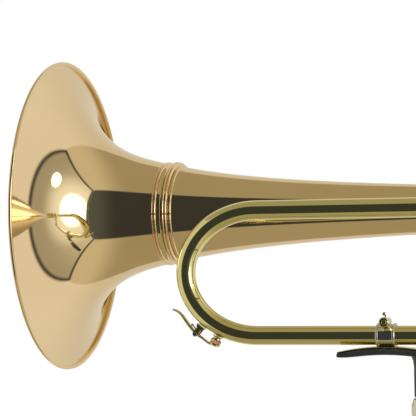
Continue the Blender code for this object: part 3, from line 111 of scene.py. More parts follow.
# Studio seen in the metal: colours
WALL_BACK = (0.88, 0.84, 0.80)
WALL_FRONT = (0.76, 0.72, 0.65)
WALL_LEFT = (0.74, 0.70, 0.62)
CEILING = (0.43, 0.38, 0.265)
CEILING_RIGHT = (0.70, 0.64, 0.50)
OPENING = (0.048, 0.052, 0.054)
OPENING_RIGHT = (0.105, 0.120, 0.125)
PANEL = (0.74, 0.70, 0.60)
PANEL_FAR = (0.44, 0.42, 0.35)
GLOW = (1.15, 1.15, 1.15)
HOT = (3.2, 3.2, 3.2)

# Studio seen in the metal: where its parts pass into each other
WALL_TURN = (-0.50, 0.35)      # Y of a direction, from the front walls to the back ones
BACK_WALL_TURN = (0.15, 0.70)  # X, from the left of the back wall to its right
CEILING_TURN = (0.15, 0.60)
PANEL_TURN = (-0.60, 0.30)
OPENING_TURN = (0.30, 0.70)
CEILING_ASIDE = (0.84, 0.90)   # height over sideways distance, where the ceiling starts
CEILING_BEHIND = (1.10, 1.24)  # height over distance behind, less the sideways distance
CEILING_FRONT = (0.98, 1.10)   # height over distance in front, also the top of the opening
OPENING_LEFT_END = (-1.00, -0.75)
OPENING_RIGHT_END = (1.12, 1.20)
PANEL_SIZE = 0.78              # half height and front reach, over the panel's distance
FRAME_SIZE = 0.84              # the same for the dark frame round the panel
PANEL_BEHIND = (-0.44, -0.38)  # from those sizes to the panel's end at the back
PANEL_FADE = 0.05
HOT_SPOT = (0.903, -0.421, 0.087)
HOT_SPOT_GLOW = (0.80, 0.99)   # cosines of the angle to its middle
HOT_SPOT_CORE = (0.955, 0.975)
SMALL_LIGHT = (0.932, 0.049, 0.358)
SMALL_LIGHT_CORE = (0.9960, 0.9970)
TINY = 0.001

# Bell, as in the model
RIM_WIRE = 0.0017
RIM_TURN = range(210, -155, -14)   # degrees round the wire in the rim
RIM_CLEAR = 1.2                # of the wire, where the inner line of the sheet ends
BELL_WALL = 0.0006
FLARE_SCALE = 0.0255
FLARE_POWER = 0.70
FLARE_WAIST = 0.042
WAIST_LENGTH = 0.1150
FIRST_STATION = 0.095          # crowds the stations towards the mouth
STEM_CROWDING = 1.3

# Ring joint. A bead is its start, end, ground at both and rise; the ground of the front beads is
# counted from the flare, of the crest beads from the rear ring's crest and of the last from its seat.
FRONT_BEADS = ((0.0001, 0.0021, -0.0007, -0.0007, 0.0011), (0.0022, 0.0052, -0.0007, -0.0008, 0.0015))
CREST_BEADS = ((0.0001, 0.0028, -0.0016, -0.0016, 0.0013), (0.0030, 0.0052, -0.0018, -0.0022, 0.0013))
SEAT_BEADS = ((0.0066, 0.0085, 0.0, -0.0002, 0.0010),)
COVE_START, COVE_GROUND, COVE_DEPTH, COVE_STEPS = 0.0054, -0.0008, 0.0005, 8
RING_DEPTH = 0.0036
RING_LAP = 0.0024              # how far the front ring reaches over the flare
CREST_LIP = 0.0022
SEAT_STEP = ((0.0056, 0.0002), (0.0064, 0.0))    # place and rise, from the crest beads down
SEAT_STAND = 0.0004
SEAT_UNDER = 0.0006
SEAT_LAP = 0.0028

# Tubes and bows, as in the model
BOW_LEAD = 0.0020
BOW_HEIGHT = 0.0515            # half the distance between the two legs
BOW_STEPS = 96
TUBE_WALL = 0.0006
OUTER_TUBE_WALL = 0.00045
END_RING = (0.0166, 0.0076)    # start and end of the ring on an outer tube, from its open end
END_RING_BEAD = 0.0020
END_RING_GAP = 0.0024
RING_HEIGHT = 0.0012
RING_GROUND = 0.0007
TUNING_BOW_LEAD = 0.0160
TUNING_BOW_STEPS = 72
LOOP_BENDS = (("inner", 0.0240), ("outer", 0.0350))
LOOP_STEPS = 20
VALVE_LEG = 0.0065
VALVE_BOW_STEPS = 40

# Water key. Profiles are (radius, height) pairs and lines are (x, z) pairs from the pin.
DRAIN_ANGLE = -60              # degrees round the bow
DRAIN_SEAT = 0.0003
CORK_PLACE = 0.0033
CUP_PLACE = 0.0031
LEVER_END = 0.0014
NIPPLE = ((0.0020, 0.0030), (0.0031, 0.0030), (0.0034, 0.0026), (0.0030, 0.0016), (0.0034, 0.0008),
          (0.0045, 0.0004), (0.0046, 0.0), (0.0020, 0.0))
DISC = ((0, 0.0028), (0.0044, 0.0028), (0.0044, 0.0), (0, 0.0))
CUP = ((0, 0.0026), (0.0022, 0.0024), (0.0038, 0.0017), (0.0047, 0.0009), (0.0048, 0.0), (0, 0.0))
EYE = ((0.0, 0.0024), (0.0021, 0.0024), (0.0021, -0.0024), (0.0, -0.0024))
LEVER_LINE = ((-0.0200, 0.0202), (-0.0160, 0.0187), (-0.0120, 0.0151), (-0.0094, 0.0114), (-0.0067, 0.0078),
              (-0.0036, 0.0040), (0, 0), (0.0050, -0.0034), (0.0110, -0.0078))
LEVER_WIDTH, LEVER_NARROWING = 0.0050, 0.0008
LEVER_THICK = (0.0013, 0.0026) # at its ends and in its middle
SPRING_LINE = ((-0.0034, 0.0076), (-0.0024, 0.0066), (-0.0012, 0.0050), (0.0002, 0.0036))
SPRING_THICK = 0.0011
SPRING_BALL = 0.0010
BALL_STEPS = 12
LINE_PARTS = 5

# Collar with its lug, and the small hook on the lug
COLLAR_BORE, COLLAR_SKIN = 0.0081, 0.0093
COLLAR_BEAD = 0.0006
COLLAR_STEPS = (0.0006, 0.0016, 0.0020)    # from an end to the bead's top, its fall and the skin
COLLAR_BLOCK = (0.0080, 0.0136)
BLOCK_SINK = 0.0004
BLOCK_EASE = (0.0012, 0.0008)  # from its top and from its foot
LUG_HEIGHT = 0.0110
LUG = ((0, 0.0040), (0.0034, 0.0040), (0.0034, -0.0067), (0.0016, -0.0067), (0.0016, 0.0), (0, 0.0))
HOOK_FRONT = -0.0056
HOOK_LINE = ((0.0002, 0.0026), (0.0004, 0.0044), (-0.0004, 0.0058), (-0.0016, 0.0064), (-0.0012, 0.0072),
             (0.0, 0.0076))
HOOK_WIDTH = 0.0014
HOOK_THICK = (0.0012, 0.0018)

# Hand rest, a little flatter than in the model, as in the photograph
REST_RADIUS = 0.190
REST_LIFT = 0.0028
REST_CUT = 0.0030
PLATE_THICK = 0.0014
PLATE_DROP = -0.0005
PAD_DROP = -0.0010
PAD_THICK, PAD_THINNING = 0.0058, 0.0022
PAD_LAP = 0.0003
PAD_WIDER = 0.0010
SLEEVE_TOP = ((0, 0.0050), (0.0125, 0.0054), (0.0102, 0.0066), (0.0084, 0.0086), (0.0073, 0.0115),
              (0.0067, 0.0160))    # radius, and depth under the crown
SLEEVE_FOOT = ((0.0066, 0.0006), (0.0062, 0), (0, 0))    # radius, and height over its low end


def box_of(node):
    low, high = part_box(node)
    return low, high, (low + high) / 2


# Materials

def material(name, colour, roughness, metallic):
    """A Principled material, with its nodes ready for detail."""
    made = bpy.data.materials.new(FINISH + name)
    made.use_nodes = True
    shader = made.node_tree.nodes["Principled BSDF"]
    shader.inputs["Base Color"].default_value = (*colour, 1)
    shader.inputs["Roughness"].default_value = roughness
    shader.inputs["Metallic"].default_value = metallic
    return made, shader


def node(made, kind, **values):
    found = made.node_tree.nodes.new(kind)
    for key, value in values.items():
        if key in found.inputs:
            found.inputs[key].default_value = value
        else:
            setattr(found, key, value)
    return found


def wire(made, source, target):
    made.node_tree.links.new(source, target)


def noise(made, scale, detail=3.0, stretch=(1, 1, 1)):
    """A noise in the object's own coordinates, stretched along chosen axes."""
    place = node(made, "ShaderNodeTexCoord")
    mapping = node(made, "ShaderNodeMapping")
    mapping.inputs["Scale"].default_value = stretch
    grain = node(made, "ShaderNodeTexNoise", Scale=scale, Detail=detail)
    wire(made, place.outputs["Object"], mapping.inputs["Vector"])
    wire(made, mapping.outputs["Vector"], grain.inputs["Vector"])
    return grain.outputs["Fac"]


def ramp(made, source, stops):
    """A ramp of colours or of grey values."""
    found = node(made, "ShaderNodeValToRGB")
    line = found.color_ramp
    while len(line.elements) < len(stops):
        line.elements.new(0.5)
    for element, (place, value) in zip(line.elements, stops):
        element.position = place
        colour = value if isinstance(value, tuple) else (value, value, value)
        element.color = (*colour, 1)
    wire(made, source, found.inputs["Fac"])
    return found.outputs["Color"]


def bump(made, shader, source, strength, depth):
    raised = node(made, "ShaderNodeBump", Strength=strength, Distance=depth)
    wire(made, source, raised.inputs["Height"])
    wire(made, raised.outputs["Normal"], shader.inputs["Normal"])


def polished_metal(name, colour, deep, roughness, brush=(1, 1, 1)):
    """Bright metal: the tone drifts a little, and faint buffing lines vary the gloss."""
    made, shader = material(name, colour, roughness, 1.0)
    drift = noise(made, 9.0, 2.0)
    wire(made, ramp(made, drift, [(0.30, deep), (0.70, colour)]), shader.inputs["Base Color"])
    buffing = noise(made, 260.0, 4.0, brush)
    gloss = ramp(made, buffing, [(0.25, roughness * 0.75), (0.75, roughness * 1.35)])
    wire(made, gloss, shader.inputs["Roughness"])
    bump(made, shader, buffing, 0.05, 0.00002)
    return made


def leather():
    made, shader = material("black_leather", (0.022, 0.021, 0.022), 0.42, 0.0)
    grain = node(made, "ShaderNodeTexVoronoi", Scale=1500.0)
    place = node(made, "ShaderNodeTexCoord")
    wire(made, place.outputs["Object"], grain.inputs["Vector"])
    wire(made, ramp(made, noise(made, 60.0), [(0.3, (0.016, 0.015, 0.015)), (0.7, (0.036, 0.034, 0.034))]),
         shader.inputs["Base Color"])
    wire(made, ramp(made, noise(made, 300.0), [(0.3, 0.36), (0.7, 0.52)]), shader.inputs["Roughness"])
    bump(made, shader, grain.outputs["Distance"], 0.5, 0.00025)
    return made


def cork():
    made, shader = material("cork", (0.55, 0.33, 0.24), 0.85, 0.0)
    wire(made, ramp(made, noise(made, 900.0, 4.0), [(0.35, (0.30, 0.15, 0.09)), (0.6, (0.62, 0.38, 0.26))]),
         shader.inputs["Base Color"])
    bump(made, shader, noise(made, 1200.0), 0.6, 0.0002)
    return made


def wood():
    made, shader = material("black_wood", (0.03, 0.02, 0.016), 0.34, 0.0)
    grain = noise(made, 120.0, 5.0, (1, 1, 0.08))
    wire(made, ramp(made, grain, [(0.35, (0.012, 0.008, 0.007)), (0.7, (0.055, 0.034, 0.024))]),
         shader.inputs["Base Color"])
    bump(made, shader, noise(made, 500.0, 3.0, (1, 1, 0.05)), 0.25, 0.0001)
    return made


GOLD = polished_metal("gold_brass", (0.83, 0.655, 0.385), (0.79, 0.615, 0.345), 0.05, (0.04, 1, 1))
YELLOW = polished_metal("yellow_brass", (0.78, 0.715, 0.335), (0.74, 0.675, 0.300), 0.05, (0.04, 1, 1))
NICKEL = polished_metal("nickel_silver", (0.74, 0.70, 0.62), (0.69, 0.64, 0.55), 0.09)
STEEL = polished_metal("steel", (0.62, 0.62, 0.63), (0.55, 0.55, 0.56), 0.16)
SILVER = polished_metal("silver_plate", (0.93, 0.92, 0.90), (0.90, 0.88, 0.85), 0.05)
LEATHER = leather()
CORK = cork()
WOOD = wood()


# Shapes

def stand_in(piece, finish, name):
    """A fine piece takes the place of a CAD node and moves with its body."""
    piece.data.materials.clear()
    piece.data.materials.append(finish)
    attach(piece, BODY_OF[name])
    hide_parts(name)
    return piece


def object_from(name, work):
    """A smooth-shaded object from a bmesh."""
    bmesh.ops.recalc_face_normals(work, faces=work.faces)
    mesh = bpy.data.meshes.new(name)
    work.to_mesh(mesh)
    work.free()
    mesh.shade_smooth()
    mesh.set_sharp_from_angle(angle=SMOOTH_ANGLE)
    piece = bpy.data.objects.new(name, mesh)
    bpy.context.scene.collection.objects.link(piece)
    return piece


def cad_work(name):
    """A CAD node's mesh with its split points joined."""
    work = bmesh.new()
    work.from_mesh(frame["nodes"][name].data)
    bmesh.ops.remove_doubles(work, verts=work.verts, dist=WELD)
    return work


def softened(profile, radius, closed):
    """Round the corners of a profile of (radius, height) pairs."""
    points = [Vector(point) for point in profile]
    found = []
    count = len(points)
    for i, here in enumerate(points):
        if not closed and i in (0, count - 1):
            found.append(here)
            continue
        first = points[i - 1] - here
        second = points[(i + 1) % count] - here
        if math.pi - first.angle(second, 0.0) < KEPT_ANGLE:
            found.append(here)
            continue
        cut = min(radius, first.length * 0.45, second.length * 0.45)
        start = here + first.normalized() * cut
        end = here + second.normalized() * cut
        for t in (0.0, 0.3, 0.7, 1.0):
            found.append(start.lerp(here, t).lerp(here.lerp(end, t), t))
    return [(max(point.x, 0.0), point.y) for point in found]


def turned_work(profile, centre, axis, closed=True, steps=TURN_STEPS, edge=EDGE):
    """Turn a profile of (radius, height) pairs about an axis through a centre."""
    line = softened(profile, edge, closed) if edge else profile
    side = axis.orthogonal().normalized()
    work = bmesh.new()
    verts = [work.verts.new(centre + side * radius + axis * height) for radius, height in line]
    edges = [work.edges.new(pair) for pair in zip(verts, verts[1:])]
    if closed:
        edges.append(work.edges.new((verts[-1], verts[0])))
    bmesh.ops.spin(work, geom=verts + edges, cent=centre, axis=axis, angle=math.tau, steps=steps,
                   use_merge=True, use_duplicate=False)
    bmesh.ops.remove_doubles(work, verts=work.verts, dist=WELD)
    bmesh.ops.recalc_face_normals(work, faces=work.faces)
    return work


def turned(name, profile, centre, axis, closed=True, steps=TURN_STEPS, edge=EDGE):
    return object_from(name, turned_work(profile, centre, axis, closed, steps, edge))


def together(name, *works):
    """Several shapes in one object."""
    whole = works[0]
    for other in works[1:]:
        mesh = bpy.data.meshes.new("part_of_" + name)
        other.to_mesh(mesh)
        other.free()
        whole.from_mesh(mesh)
        bpy.data.meshes.remove(mesh)
    return object_from(name, whole)


def directions(line, across):
    """At each point of a line, the direction square to the line and to across."""
    last = len(line) - 1
    runs = [line[min(i + 1, last)] - line[max(i - 1, 0)] for i in range(last + 1)]
    return [run.normalized().cross(across).normalized() for run in runs]


def join_rings(work, first, second):
    sides = len(first)
    for k in range(sides):
        work.faces.new((first[k], first[(k + 1) % sides], second[(k + 1) % sides], second[k]))


def strap(line, across, wide, thick, sides=20, square=0.72):
    """A bar with soft edges along a line. Wide and thick are full sizes, one for each point."""
    work = bmesh.new()
    rings = []
    for i, (place, up) in enumerate(zip(line, directions(line, across))):
        ring = []
        for k in range(sides):
            angle = math.tau * k / sides
            a = math.copysign(abs(math.cos(angle)) ** square, math.cos(angle)) * wide[i] / 2
            b = math.copysign(abs(math.sin(angle)) ** square, math.sin(angle)) * thick[i] / 2
            ring.append(work.verts.new(place + across * a + up * b))
        rings.append(ring)
    for first, second in zip(rings, rings[1:]):
        join_rings(work, first, second)
    work.faces.new(rings[0][::-1])
    work.faces.new(rings[-1])
    bmesh.ops.recalc_face_normals(work, faces=work.faces)
    return work


def pipe_work(line, radii, across):
    """A tube with walls along a line in one plane. Across is that plane's normal."""
    work = bmesh.new()
    circle = [(math.cos(math.tau * k / TUBE_SIDES), math.sin(math.tau * k / TUBE_SIDES))
              for k in range(TUBE_SIDES)]
    ups = directions(line, across)
    skins = []
    for shrink in (0.0, TUBE_WALL):
        rings = [[work.verts.new(place + (across * a + up * b) * (radius - shrink)) for a, b in circle]
                 for place, up, radius in zip(line, ups, radii)]
        skins.append(rings)
        for first, second in zip(rings, rings[1:]):
            join_rings(work, first, second)
    for end in (0, -1):
        join_rings(work, skins[0][end], skins[1][end])
    bmesh.ops.recalc_face_normals(work, faces=work.faces)
    return work


def tube(name, line, first, across, last=None):
    """A fine brass tube in place of a CAD node. With a last radius it widens or narrows evenly."""
    last = last or first
    radii = [first + (last - first) * i / (len(line) - 1) for i in range(len(line))]
    return stand_in(object_from(name + "_fine", pipe_work(line, radii, across)), YELLOW, name)


def smooth_line(points, parts=LINE_PARTS):
    """A Catmull-Rom curve through chosen places."""
    found = []
    for i in range(len(points) - 1):
        p0 = points[max(i - 1, 0)]
        p1 = points[i]
        p2 = points[i + 1]
        p3 = points[min(i + 2, len(points) - 1)]
        for step in range(parts):
            t = step / parts
            bend = (2 * p0 - 5 * p1 + 4 * p2 - p3) * t * t
            twist = (3 * p1 - p0 - 3 * p2 + p3) * t * t * t
            found.append((2 * p1 + (p2 - p0) * t + bend + twist) / 2)
    return found + [points[-1]]


def places(start, line, y=0.0):
    """Places in a plane of equal Y, from (x, z) pairs counted from a start."""
    return [start + Vector((x, y, z)) for x, z in line]


def swell(count, ends, middle):
    """Sizes along a bar that is thicker in its middle."""
    return [ends + (middle - ends) * math.sin(math.pi * i / (count - 1)) for i in range(count)]


def half_ellipse(centre, reach, half, direction, lead, count):
    """The middle line of a bow in the plane of two legs."""
    along = X_AXIS * direction
    points = [centre - half - along * lead]
    for i in range(count + 1):
        angle = -math.pi / 2 + math.pi * i / count
        points.append(centre + along * (reach * math.cos(angle)) + half * math.sin(angle))
    points.append(centre + half - along * lead)
    return points


def meridian(work, centre, axis):
    """The profile of a turned CAD node: its points in one half-plane, in order. Flat ends of the
    model have no point on the axis, and a flat rim may lack its edge, so both are put back."""
    polar = {}
    for vert in work.verts:
        height = (vert.co - centre).dot(axis)
        polar[vert] = (vert.co - centre - axis * height, height)
    widest = max(polar.values(), key=lambda pair: pair[0].length)[0].normalized()
    line = {vert: (out.length, height) for vert, (out, height) in polar.items()
            if (out - widest * out.length).length < SAME_LINE}
    beside = {vert: [edge.other_vert(vert) for edge in vert.link_edges if edge.other_vert(vert) in line]
              for vert in line}
    left = set(line)
    chains = []
    loop = False
    while left:
        here = min(left, key=lambda vert: (len(beside[vert]) > 1, line[vert][1], line[vert][0]))
        chain = []
        while here is not None:
            chain.append(here)
            left.discard(here)
            here = next((vert for vert in beside[here] if vert in left), None)
        loop = loop or len(chain) > 2 and chain[0] in beside[chain[-1]]
        chains.append([line[vert] for vert in chain])
    chains.sort(key=len, reverse=True)
    path = chains[0]
    for other in chains[1:]:
        end = Vector(path[-1])
        near = (Vector(other[0]) - end).length <= (Vector(other[-1]) - end).length
        path += other if near else other[::-1]
    on_axis = [radius < SAME_LINE for radius, _ in (path[0], path[-1])]
    ring = loop or len(chains) > 1 or abs(path[0][1] - path[-1][1]) < SAME_LINE
    if ring and not any(on_axis):
        return path, True
    if not on_axis[0]:
        path = [(0.0, path[0][1])] + path
    if not on_axis[1]:
        path.append((0.0, path[-1][1]))
    return path, False


def returned(name, finish, axis=X_AXIS, edge=EDGE):
    """A turned CAD node made again with many more sides and soft edges."""
    centre = box_of(name)[2]
    work = cad_work(name)
    profile, closed = meridian(work, centre, axis)
    work.free()
    return stand_in(turned(name + "_fine", profile, centre, axis, closed, TURN_STEPS, edge), finish, name)


def dressed(name, finish, width=0.0003, segments=2):
    """A CAD node's own shape with soft edges."""
    work = cad_work(name)
    bmesh.ops.dissolve_limit(work, angle_limit=FLAT_ANGLE, verts=work.verts, edges=work.edges)
    piece = object_from(name + "_fine", work)
    soft = piece.modifiers.new("soft_edges", "BEVEL")
    soft.width = width
    soft.segments = segments
    soft.limit_method = "ANGLE"
    soft.angle_limit = SOFT_ANGLE
    return stand_in(piece, finish, name)


# Camera and studio

def build_camera():
    low, high, centre = box_of("bell_flare")
    cos_yaw, sin_yaw = math.cos(CAMERA_YAW), math.sin(CAMERA_YAW)
    cos_pitch, sin_pitch = math.cos(CAMERA_PITCH), math.sin(CAMERA_PITCH)
    forward = Vector((-sin_yaw * cos_pitch, cos_yaw * cos_pitch, sin_pitch))
    level = Vector((cos_yaw, sin_yaw, 0))
    raised = level.cross(forward)
    right = level * math.cos(CAMERA_ROLL) + raised * math.sin(CAMERA_ROLL)
    up = raised * math.cos(CAMERA_ROLL) - level * math.sin(CAMERA_ROLL)
    turn = Matrix((right, up, -forward)).transposed().to_4x4()
    place = Vector((low.x + CAMERA_BEHIND_MOUTH, centre.y - CAMERA_DISTANCE, centre.z + CAMERA_HEIGHT))
    data = bpy.data.cameras.new("camera")
    data.lens = FOCAL_PIXELS / IMAGE_SIZE * SENSOR
    data.sensor_width = SENSOR
    data.clip_end = CAMERA_REACH
    camera = bpy.data.objects.new("camera", data)
    camera.matrix_world = Matrix.Translation(place) @ turn
    bpy.context.scene.collection.objects.link(camera)
    bpy.context.scene.camera = camera


class Sky:
    """Short calls for the world's nodes. A fade is a (start, end) pair of values."""

    def __init__(self, world):
        world.use_nodes = True
        self.nodes = world.node_tree.nodes
        self.links = world.node_tree.links
        self.nodes.clear()
        self.direction = self.nodes.new("ShaderNodeTexCoord").outputs["Generated"]

    def feed(self, source, target):
        if isinstance(source, (int, float)):
            target.default_value = source
        elif isinstance(source, tuple):
            target.default_value = (*source, 1)
        else:
            self.links.new(source, target)

    def maths(self, kind, first, second=0.0):
        found = self.nodes.new("ShaderNodeMath")
        found.operation = kind
        self.feed(first, found.inputs[0])
        self.feed(second, found.inputs[1])
        return found.outputs[0]

    def all_of(self, first, *others):
        for other in others:
            first = self.maths("MULTIPLY", first, other)
        return first

    def after(self, fade, value, over=None, first=0.0, last=1.0):
        """1 after a fade and 0 before it, for a value or for its ratio to another."""
        if over is not None:
            value = self.maths("DIVIDE", value, over)
        found = self.nodes.new("ShaderNodeMapRange")
        found.interpolation_type = "SMOOTHSTEP"
        self.feed(value, found.inputs["Value"])
        found.inputs["From Min"].default_value, found.inputs["From Max"].default_value = fade
        found.inputs["To Min"].default_value, found.inputs["To Max"].default_value = first, last
        return found.outputs["Result"]

    def until(self, fade, value, over=None):
        return self.after(fade, value, over, 1.0, 0.0)

    def blend(self, share, first, second):
        found = self.nodes.new("ShaderNodeMix")
        found.data_type = "RGBA"
        self.feed(share, found.inputs["Factor"])
        self.feed(first, found.inputs[6])
        self.feed(second, found.inputs[7])
        return found.outputs[2]

    def spot(self, direction, fade):
        found = self.nodes.new("ShaderNodeVectorMath")
        found.operation = "DOT_PRODUCT"
        self.links.new(self.direction, found.inputs[0])
        found.inputs[1].default_value = Vector(direction).normalized()
        return self.after(fade, found.outputs["Value"])


def studio_colour(sky):
    """A box of a room. Its back, left and front walls are pale, its ceiling and floor are browner,
    its right wall is a framed panel with two lights, and in front is a dark opening."""
    split = sky.nodes.new("ShaderNodeSeparateXYZ")
    sky.links.new(sky.direction, split.inputs[0])
    x, y, z = split.outputs
    tall = sky.maths("ABSOLUTE", z)
    front = sky.maths("MAXIMUM", sky.maths("MULTIPLY", y, -1.0), TINY)
    behind = sky.maths("MAXIMUM", y, TINY)
    right = sky.maths("MAXIMUM", x, TINY)
    aside = sky.maths("MAXIMUM", sky.maths("ABSOLUTE", x), TINY)

    back_wall = sky.blend(sky.after(BACK_WALL_TURN, x), WALL_LEFT, WALL_BACK)
    walls = sky.blend(sky.after(WALL_TURN, y), WALL_FRONT, back_wall)
    steepness = sky.maths("SUBTRACT", sky.maths("DIVIDE", tall, behind), aside)
    overhead = sky.all_of(sky.after(CEILING_ASIDE, tall, aside), sky.after(CEILING_BEHIND, steepness),
                          sky.after(CEILING_FRONT, tall, front))
    room = sky.blend(overhead, walls, sky.blend(sky.after(CEILING_TURN, x), CEILING, CEILING_RIGHT))

    def on_panel(size):
        edge = (size, size + PANEL_FADE)
        back_end = (size + PANEL_BEHIND[0], size + PANEL_BEHIND[1])
        return sky.all_of(sky.until(edge, tall, right), sky.until(edge, front, right),
                          sky.until(back_end, y, right))

    room = sky.blend(on_panel(FRAME_SIZE), room, OPENING)
    panel = sky.blend(sky.after(PANEL_TURN, y), PANEL, PANEL_FAR)
    panel = sky.blend(sky.spot(HOT_SPOT, HOT_SPOT_GLOW), panel, GLOW)
    panel = sky.blend(sky.spot(HOT_SPOT, HOT_SPOT_CORE), panel, HOT)
    panel = sky.blend(sky.spot(SMALL_LIGHT, SMALL_LIGHT_CORE), panel, HOT)
    room = sky.blend(on_panel(PANEL_SIZE), room, panel)
    in_opening = sky.all_of(sky.until(CEILING_FRONT, tall, front), sky.until(OPENING_RIGHT_END, x, front),
                            sky.after(OPENING_LEFT_END, x, front))
    dark = sky.blend(sky.after(OPENING_TURN, x), OPENING, OPENING_RIGHT)
    return sky.blend(in_opening, room, dark)


def build_world():
    """White to the camera. Metal sees the studio that the reflections in the photograph show."""
    world = bpy.data.worlds.new("studio")
    bpy.context.scene.world = world
    sky = Sky(world)
    white = sky.nodes.new("ShaderNodeBackground")
    sky.feed((1, 1, 1), white.inputs["Color"])
    studio = sky.nodes.new("ShaderNodeBackground")
    sky.feed(studio_colour(sky), studio.inputs["Color"])
    pick = sky.nodes.new("ShaderNodeMixShader")
    path = sky.nodes.new("ShaderNodeLightPath")
    output = sky.nodes.new("ShaderNodeOutputWorld")
    sky.links.new(path.outputs["Is Camera Ray"], pick.inputs["Fac"])
    sky.links.new(studio.outputs[0], pick.inputs[1])
    sky.links.new(white.outputs[0], pick.inputs[2])
    sky.links.new(pick.outputs[0], output.inputs["Surface"])


def build_floor():
    """Pale, with the object's shadow near the object and plain white further off. Metal sees the
    room through it."""
    low, high = CAD_BOX
    place = ((low.x + high.x) / 2, (low.y + high.y) / 2, low.z - FLOOR_DROP)
    bpy.ops.mesh.primitive_grid_add(size=FLOOR_SIZE, x_subdivisions=FLOOR_PARTS, y_subdivisions=FLOOR_PARTS,
                                    location=place)
    floor = bpy.context.active_object
    floor.name = "floor"
    made, shader = material("pale_floor", FLOOR_COLOUR, 0.7, 0.0)
    place = node(made, "ShaderNodeTexCoord")
    far = node(made, "ShaderNodeVectorMath", operation="LENGTH")
    wire(made, place.outputs["Object"], far.inputs[0])
    share = node(made, "ShaderNodeMapRange")
    share.inputs["From Min"].default_value = SHADOW_REACH
    share.inputs["From Max"].default_value = SHADOW_END
    share.inputs["To Min"].default_value = FLOOR_GLOW
    wire(made, far.outputs["Value"], share.inputs["Value"])
    path = node(made, "ShaderNodeLightPath")
    part = node(made, "ShaderNodeMath", operation="MULTIPLY")
    wire(made, path.outputs["Is Camera Ray"], part.inputs[0])
    wire(made, share.outputs["Result"], part.inputs[1])
    white = node(made, "ShaderNodeEmission")
    clear = node(made, "ShaderNodeBsdfTransparent")
    lit = node(made, "ShaderNodeMixShader")
    wire(made, part.outputs[0], lit.inputs["Fac"])
    wire(made, shader.outputs[0], lit.inputs[1])
    wire(made, white.outputs[0], lit.inputs[2])
    mirrored = node(made, "ShaderNodeMixShader")
    wire(made, path.outputs["Is Glossy Ray"], mirrored.inputs["Fac"])
    wire(made, lit.outputs[0], mirrored.inputs[1])
    wire(made, clear.outputs[0], mirrored.inputs[2])
    wire(made, mirrored.outputs[0], made.node_tree.nodes["Material Output"].inputs["Surface"])
    floor.data.materials.append(made)


def build_lights():
    """Large soft lamps. Metal doesn't see them: its lights are the world's."""
    middle = (CAD_BOX[0] + CAD_BOX[1]) / 2
    for name, place, size, power in LAMPS:
        data = bpy.data.lights.new(name, "AREA")
        data.shape = "RECTANGLE"
        data.size, data.size_y = size
        data.energy = power
        light = bpy.data.objects.new(name, data)
        light.location = middle + Vector(place)
        light.rotation_mode = "QUATERNION"
        light.rotation_quaternion = (-Vector(place)).to_track_quat("-Z", "Y")
        light.visible_glossy = False
        bpy.context.scene.collection.objects.link(light)


# Bell

def flare_radius(x, mouth):
    drawn_in = 0.0
    if 0 < x < WAIST_LENGTH:
        drawn_in = FLARE_WAIST * math.sin(math.pi * x / WAIST_LENGTH) ** 2
    return mouth * (1 + x / FLARE_SCALE) ** -FLARE_POWER * (1 - drawn_in)


def sheet(mouth, stations):
    """The outer and inner lines of the bell's sheet."""
    step = BELL_WALL / 4
    outer = [(flare_radius(x, mouth), x) for x in stations]
    inner = []
    for x in stations:
        slope = (flare_radius(x + step, mouth) - flare_radius(x - step, mouth)) / (2 * step)
        lean = math.hypot(1, slope)
        inner.append((flare_radius(x, mouth) - BELL_WALL / lean, x + BELL_WALL * slope / lean))
    return outer, inner


def build_bell():
    low, high, centre = box_of("bell_flare")
    mouth = (high.y - low.y) / 2 - RIM_WIRE
    start = Vector((low.x, centre.y, centre.z))
    length = high.x - low.x
    shares = [i / SHEET_STATIONS for i in range(SHEET_STATIONS + 1)]
    stations = [length * (FIRST_STATION + (1 - FIRST_STATION) * share) ** 2 for share in shares]
    outer, inner = sheet(mouth, stations)
    profile = outer[::-1]
    for angle in map(math.radians, RIM_TURN):
        profile.append((mouth + RIM_WIRE * math.cos(angle), RIM_WIRE * (1 + math.sin(angle))))
    profile += [point for point in inner if point[0] < mouth - RIM_CLEAR * RIM_WIRE]
    stand_in(turned("bell_flare_fine", profile, start, X_AXIS, True, BELL_STEPS, 0), GOLD, "bell_flare")
    low, high, centre = box_of("bell_stem")
    first, last = low.x - start.x, high.x - start.x
    outer, inner = sheet(mouth, [first + (last - first) * share ** STEM_CROWDING for share in shares])
    stem = turned("bell_stem_fine", outer[::-1] + inner, start, X_AXIS, True, STEM_STEPS, 0)
    stand_in(stem, GOLD, "bell_stem")
    build_front_ring(start, mouth)
    build_rear_ring(start, mouth)


def bead(start, end, first, last, rise):
    """A round bead along a line of radii, as (radius, height) pairs."""
    found = []
    for i in range(BEAD_STEPS + 1):
        t = i / BEAD_STEPS
        found.append((first + (last - first) * t + rise * (1 - (2 * t - 1) ** 2), start + (end - start) * t))
    return found


def beads(table, start, ground):
    """The beads of a table, from the start of a ring and the radius of their ground."""
    return [point for begin, end, first, last, rise in table
            for point in bead(start + begin, start + end, ground + first, ground + last, rise)]


def build_front_ring(start, mouth):
    """From the mouth: a narrow bead, a wider one and a cove."""
    low, high, _ = box_of("flare_ring")
    first, split = low.x - start.x, high.x - start.x
    base = flare_radius(first, mouth)
    line = [(base + FRONT_BEADS[0][2], first)] + beads(FRONT_BEADS, first, base)
    for i in range(COVE_STEPS + 1):
        t = i / COVE_STEPS
        line.append((base + COVE_GROUND - COVE_DEPTH * math.sin(math.pi * t),
                     first + COVE_START + (split - first - COVE_START) * t))
    line += [(base - RING_DEPTH, split), (base - RING_DEPTH, first + RING_LAP),
             (base - RING_DEPTH / 3, first + RING_LAP)]
    stand_in(turned("flare_ring_fine", line, start, X_AXIS, True, BELL_STEPS, 0), GOLD, "flare_ring")


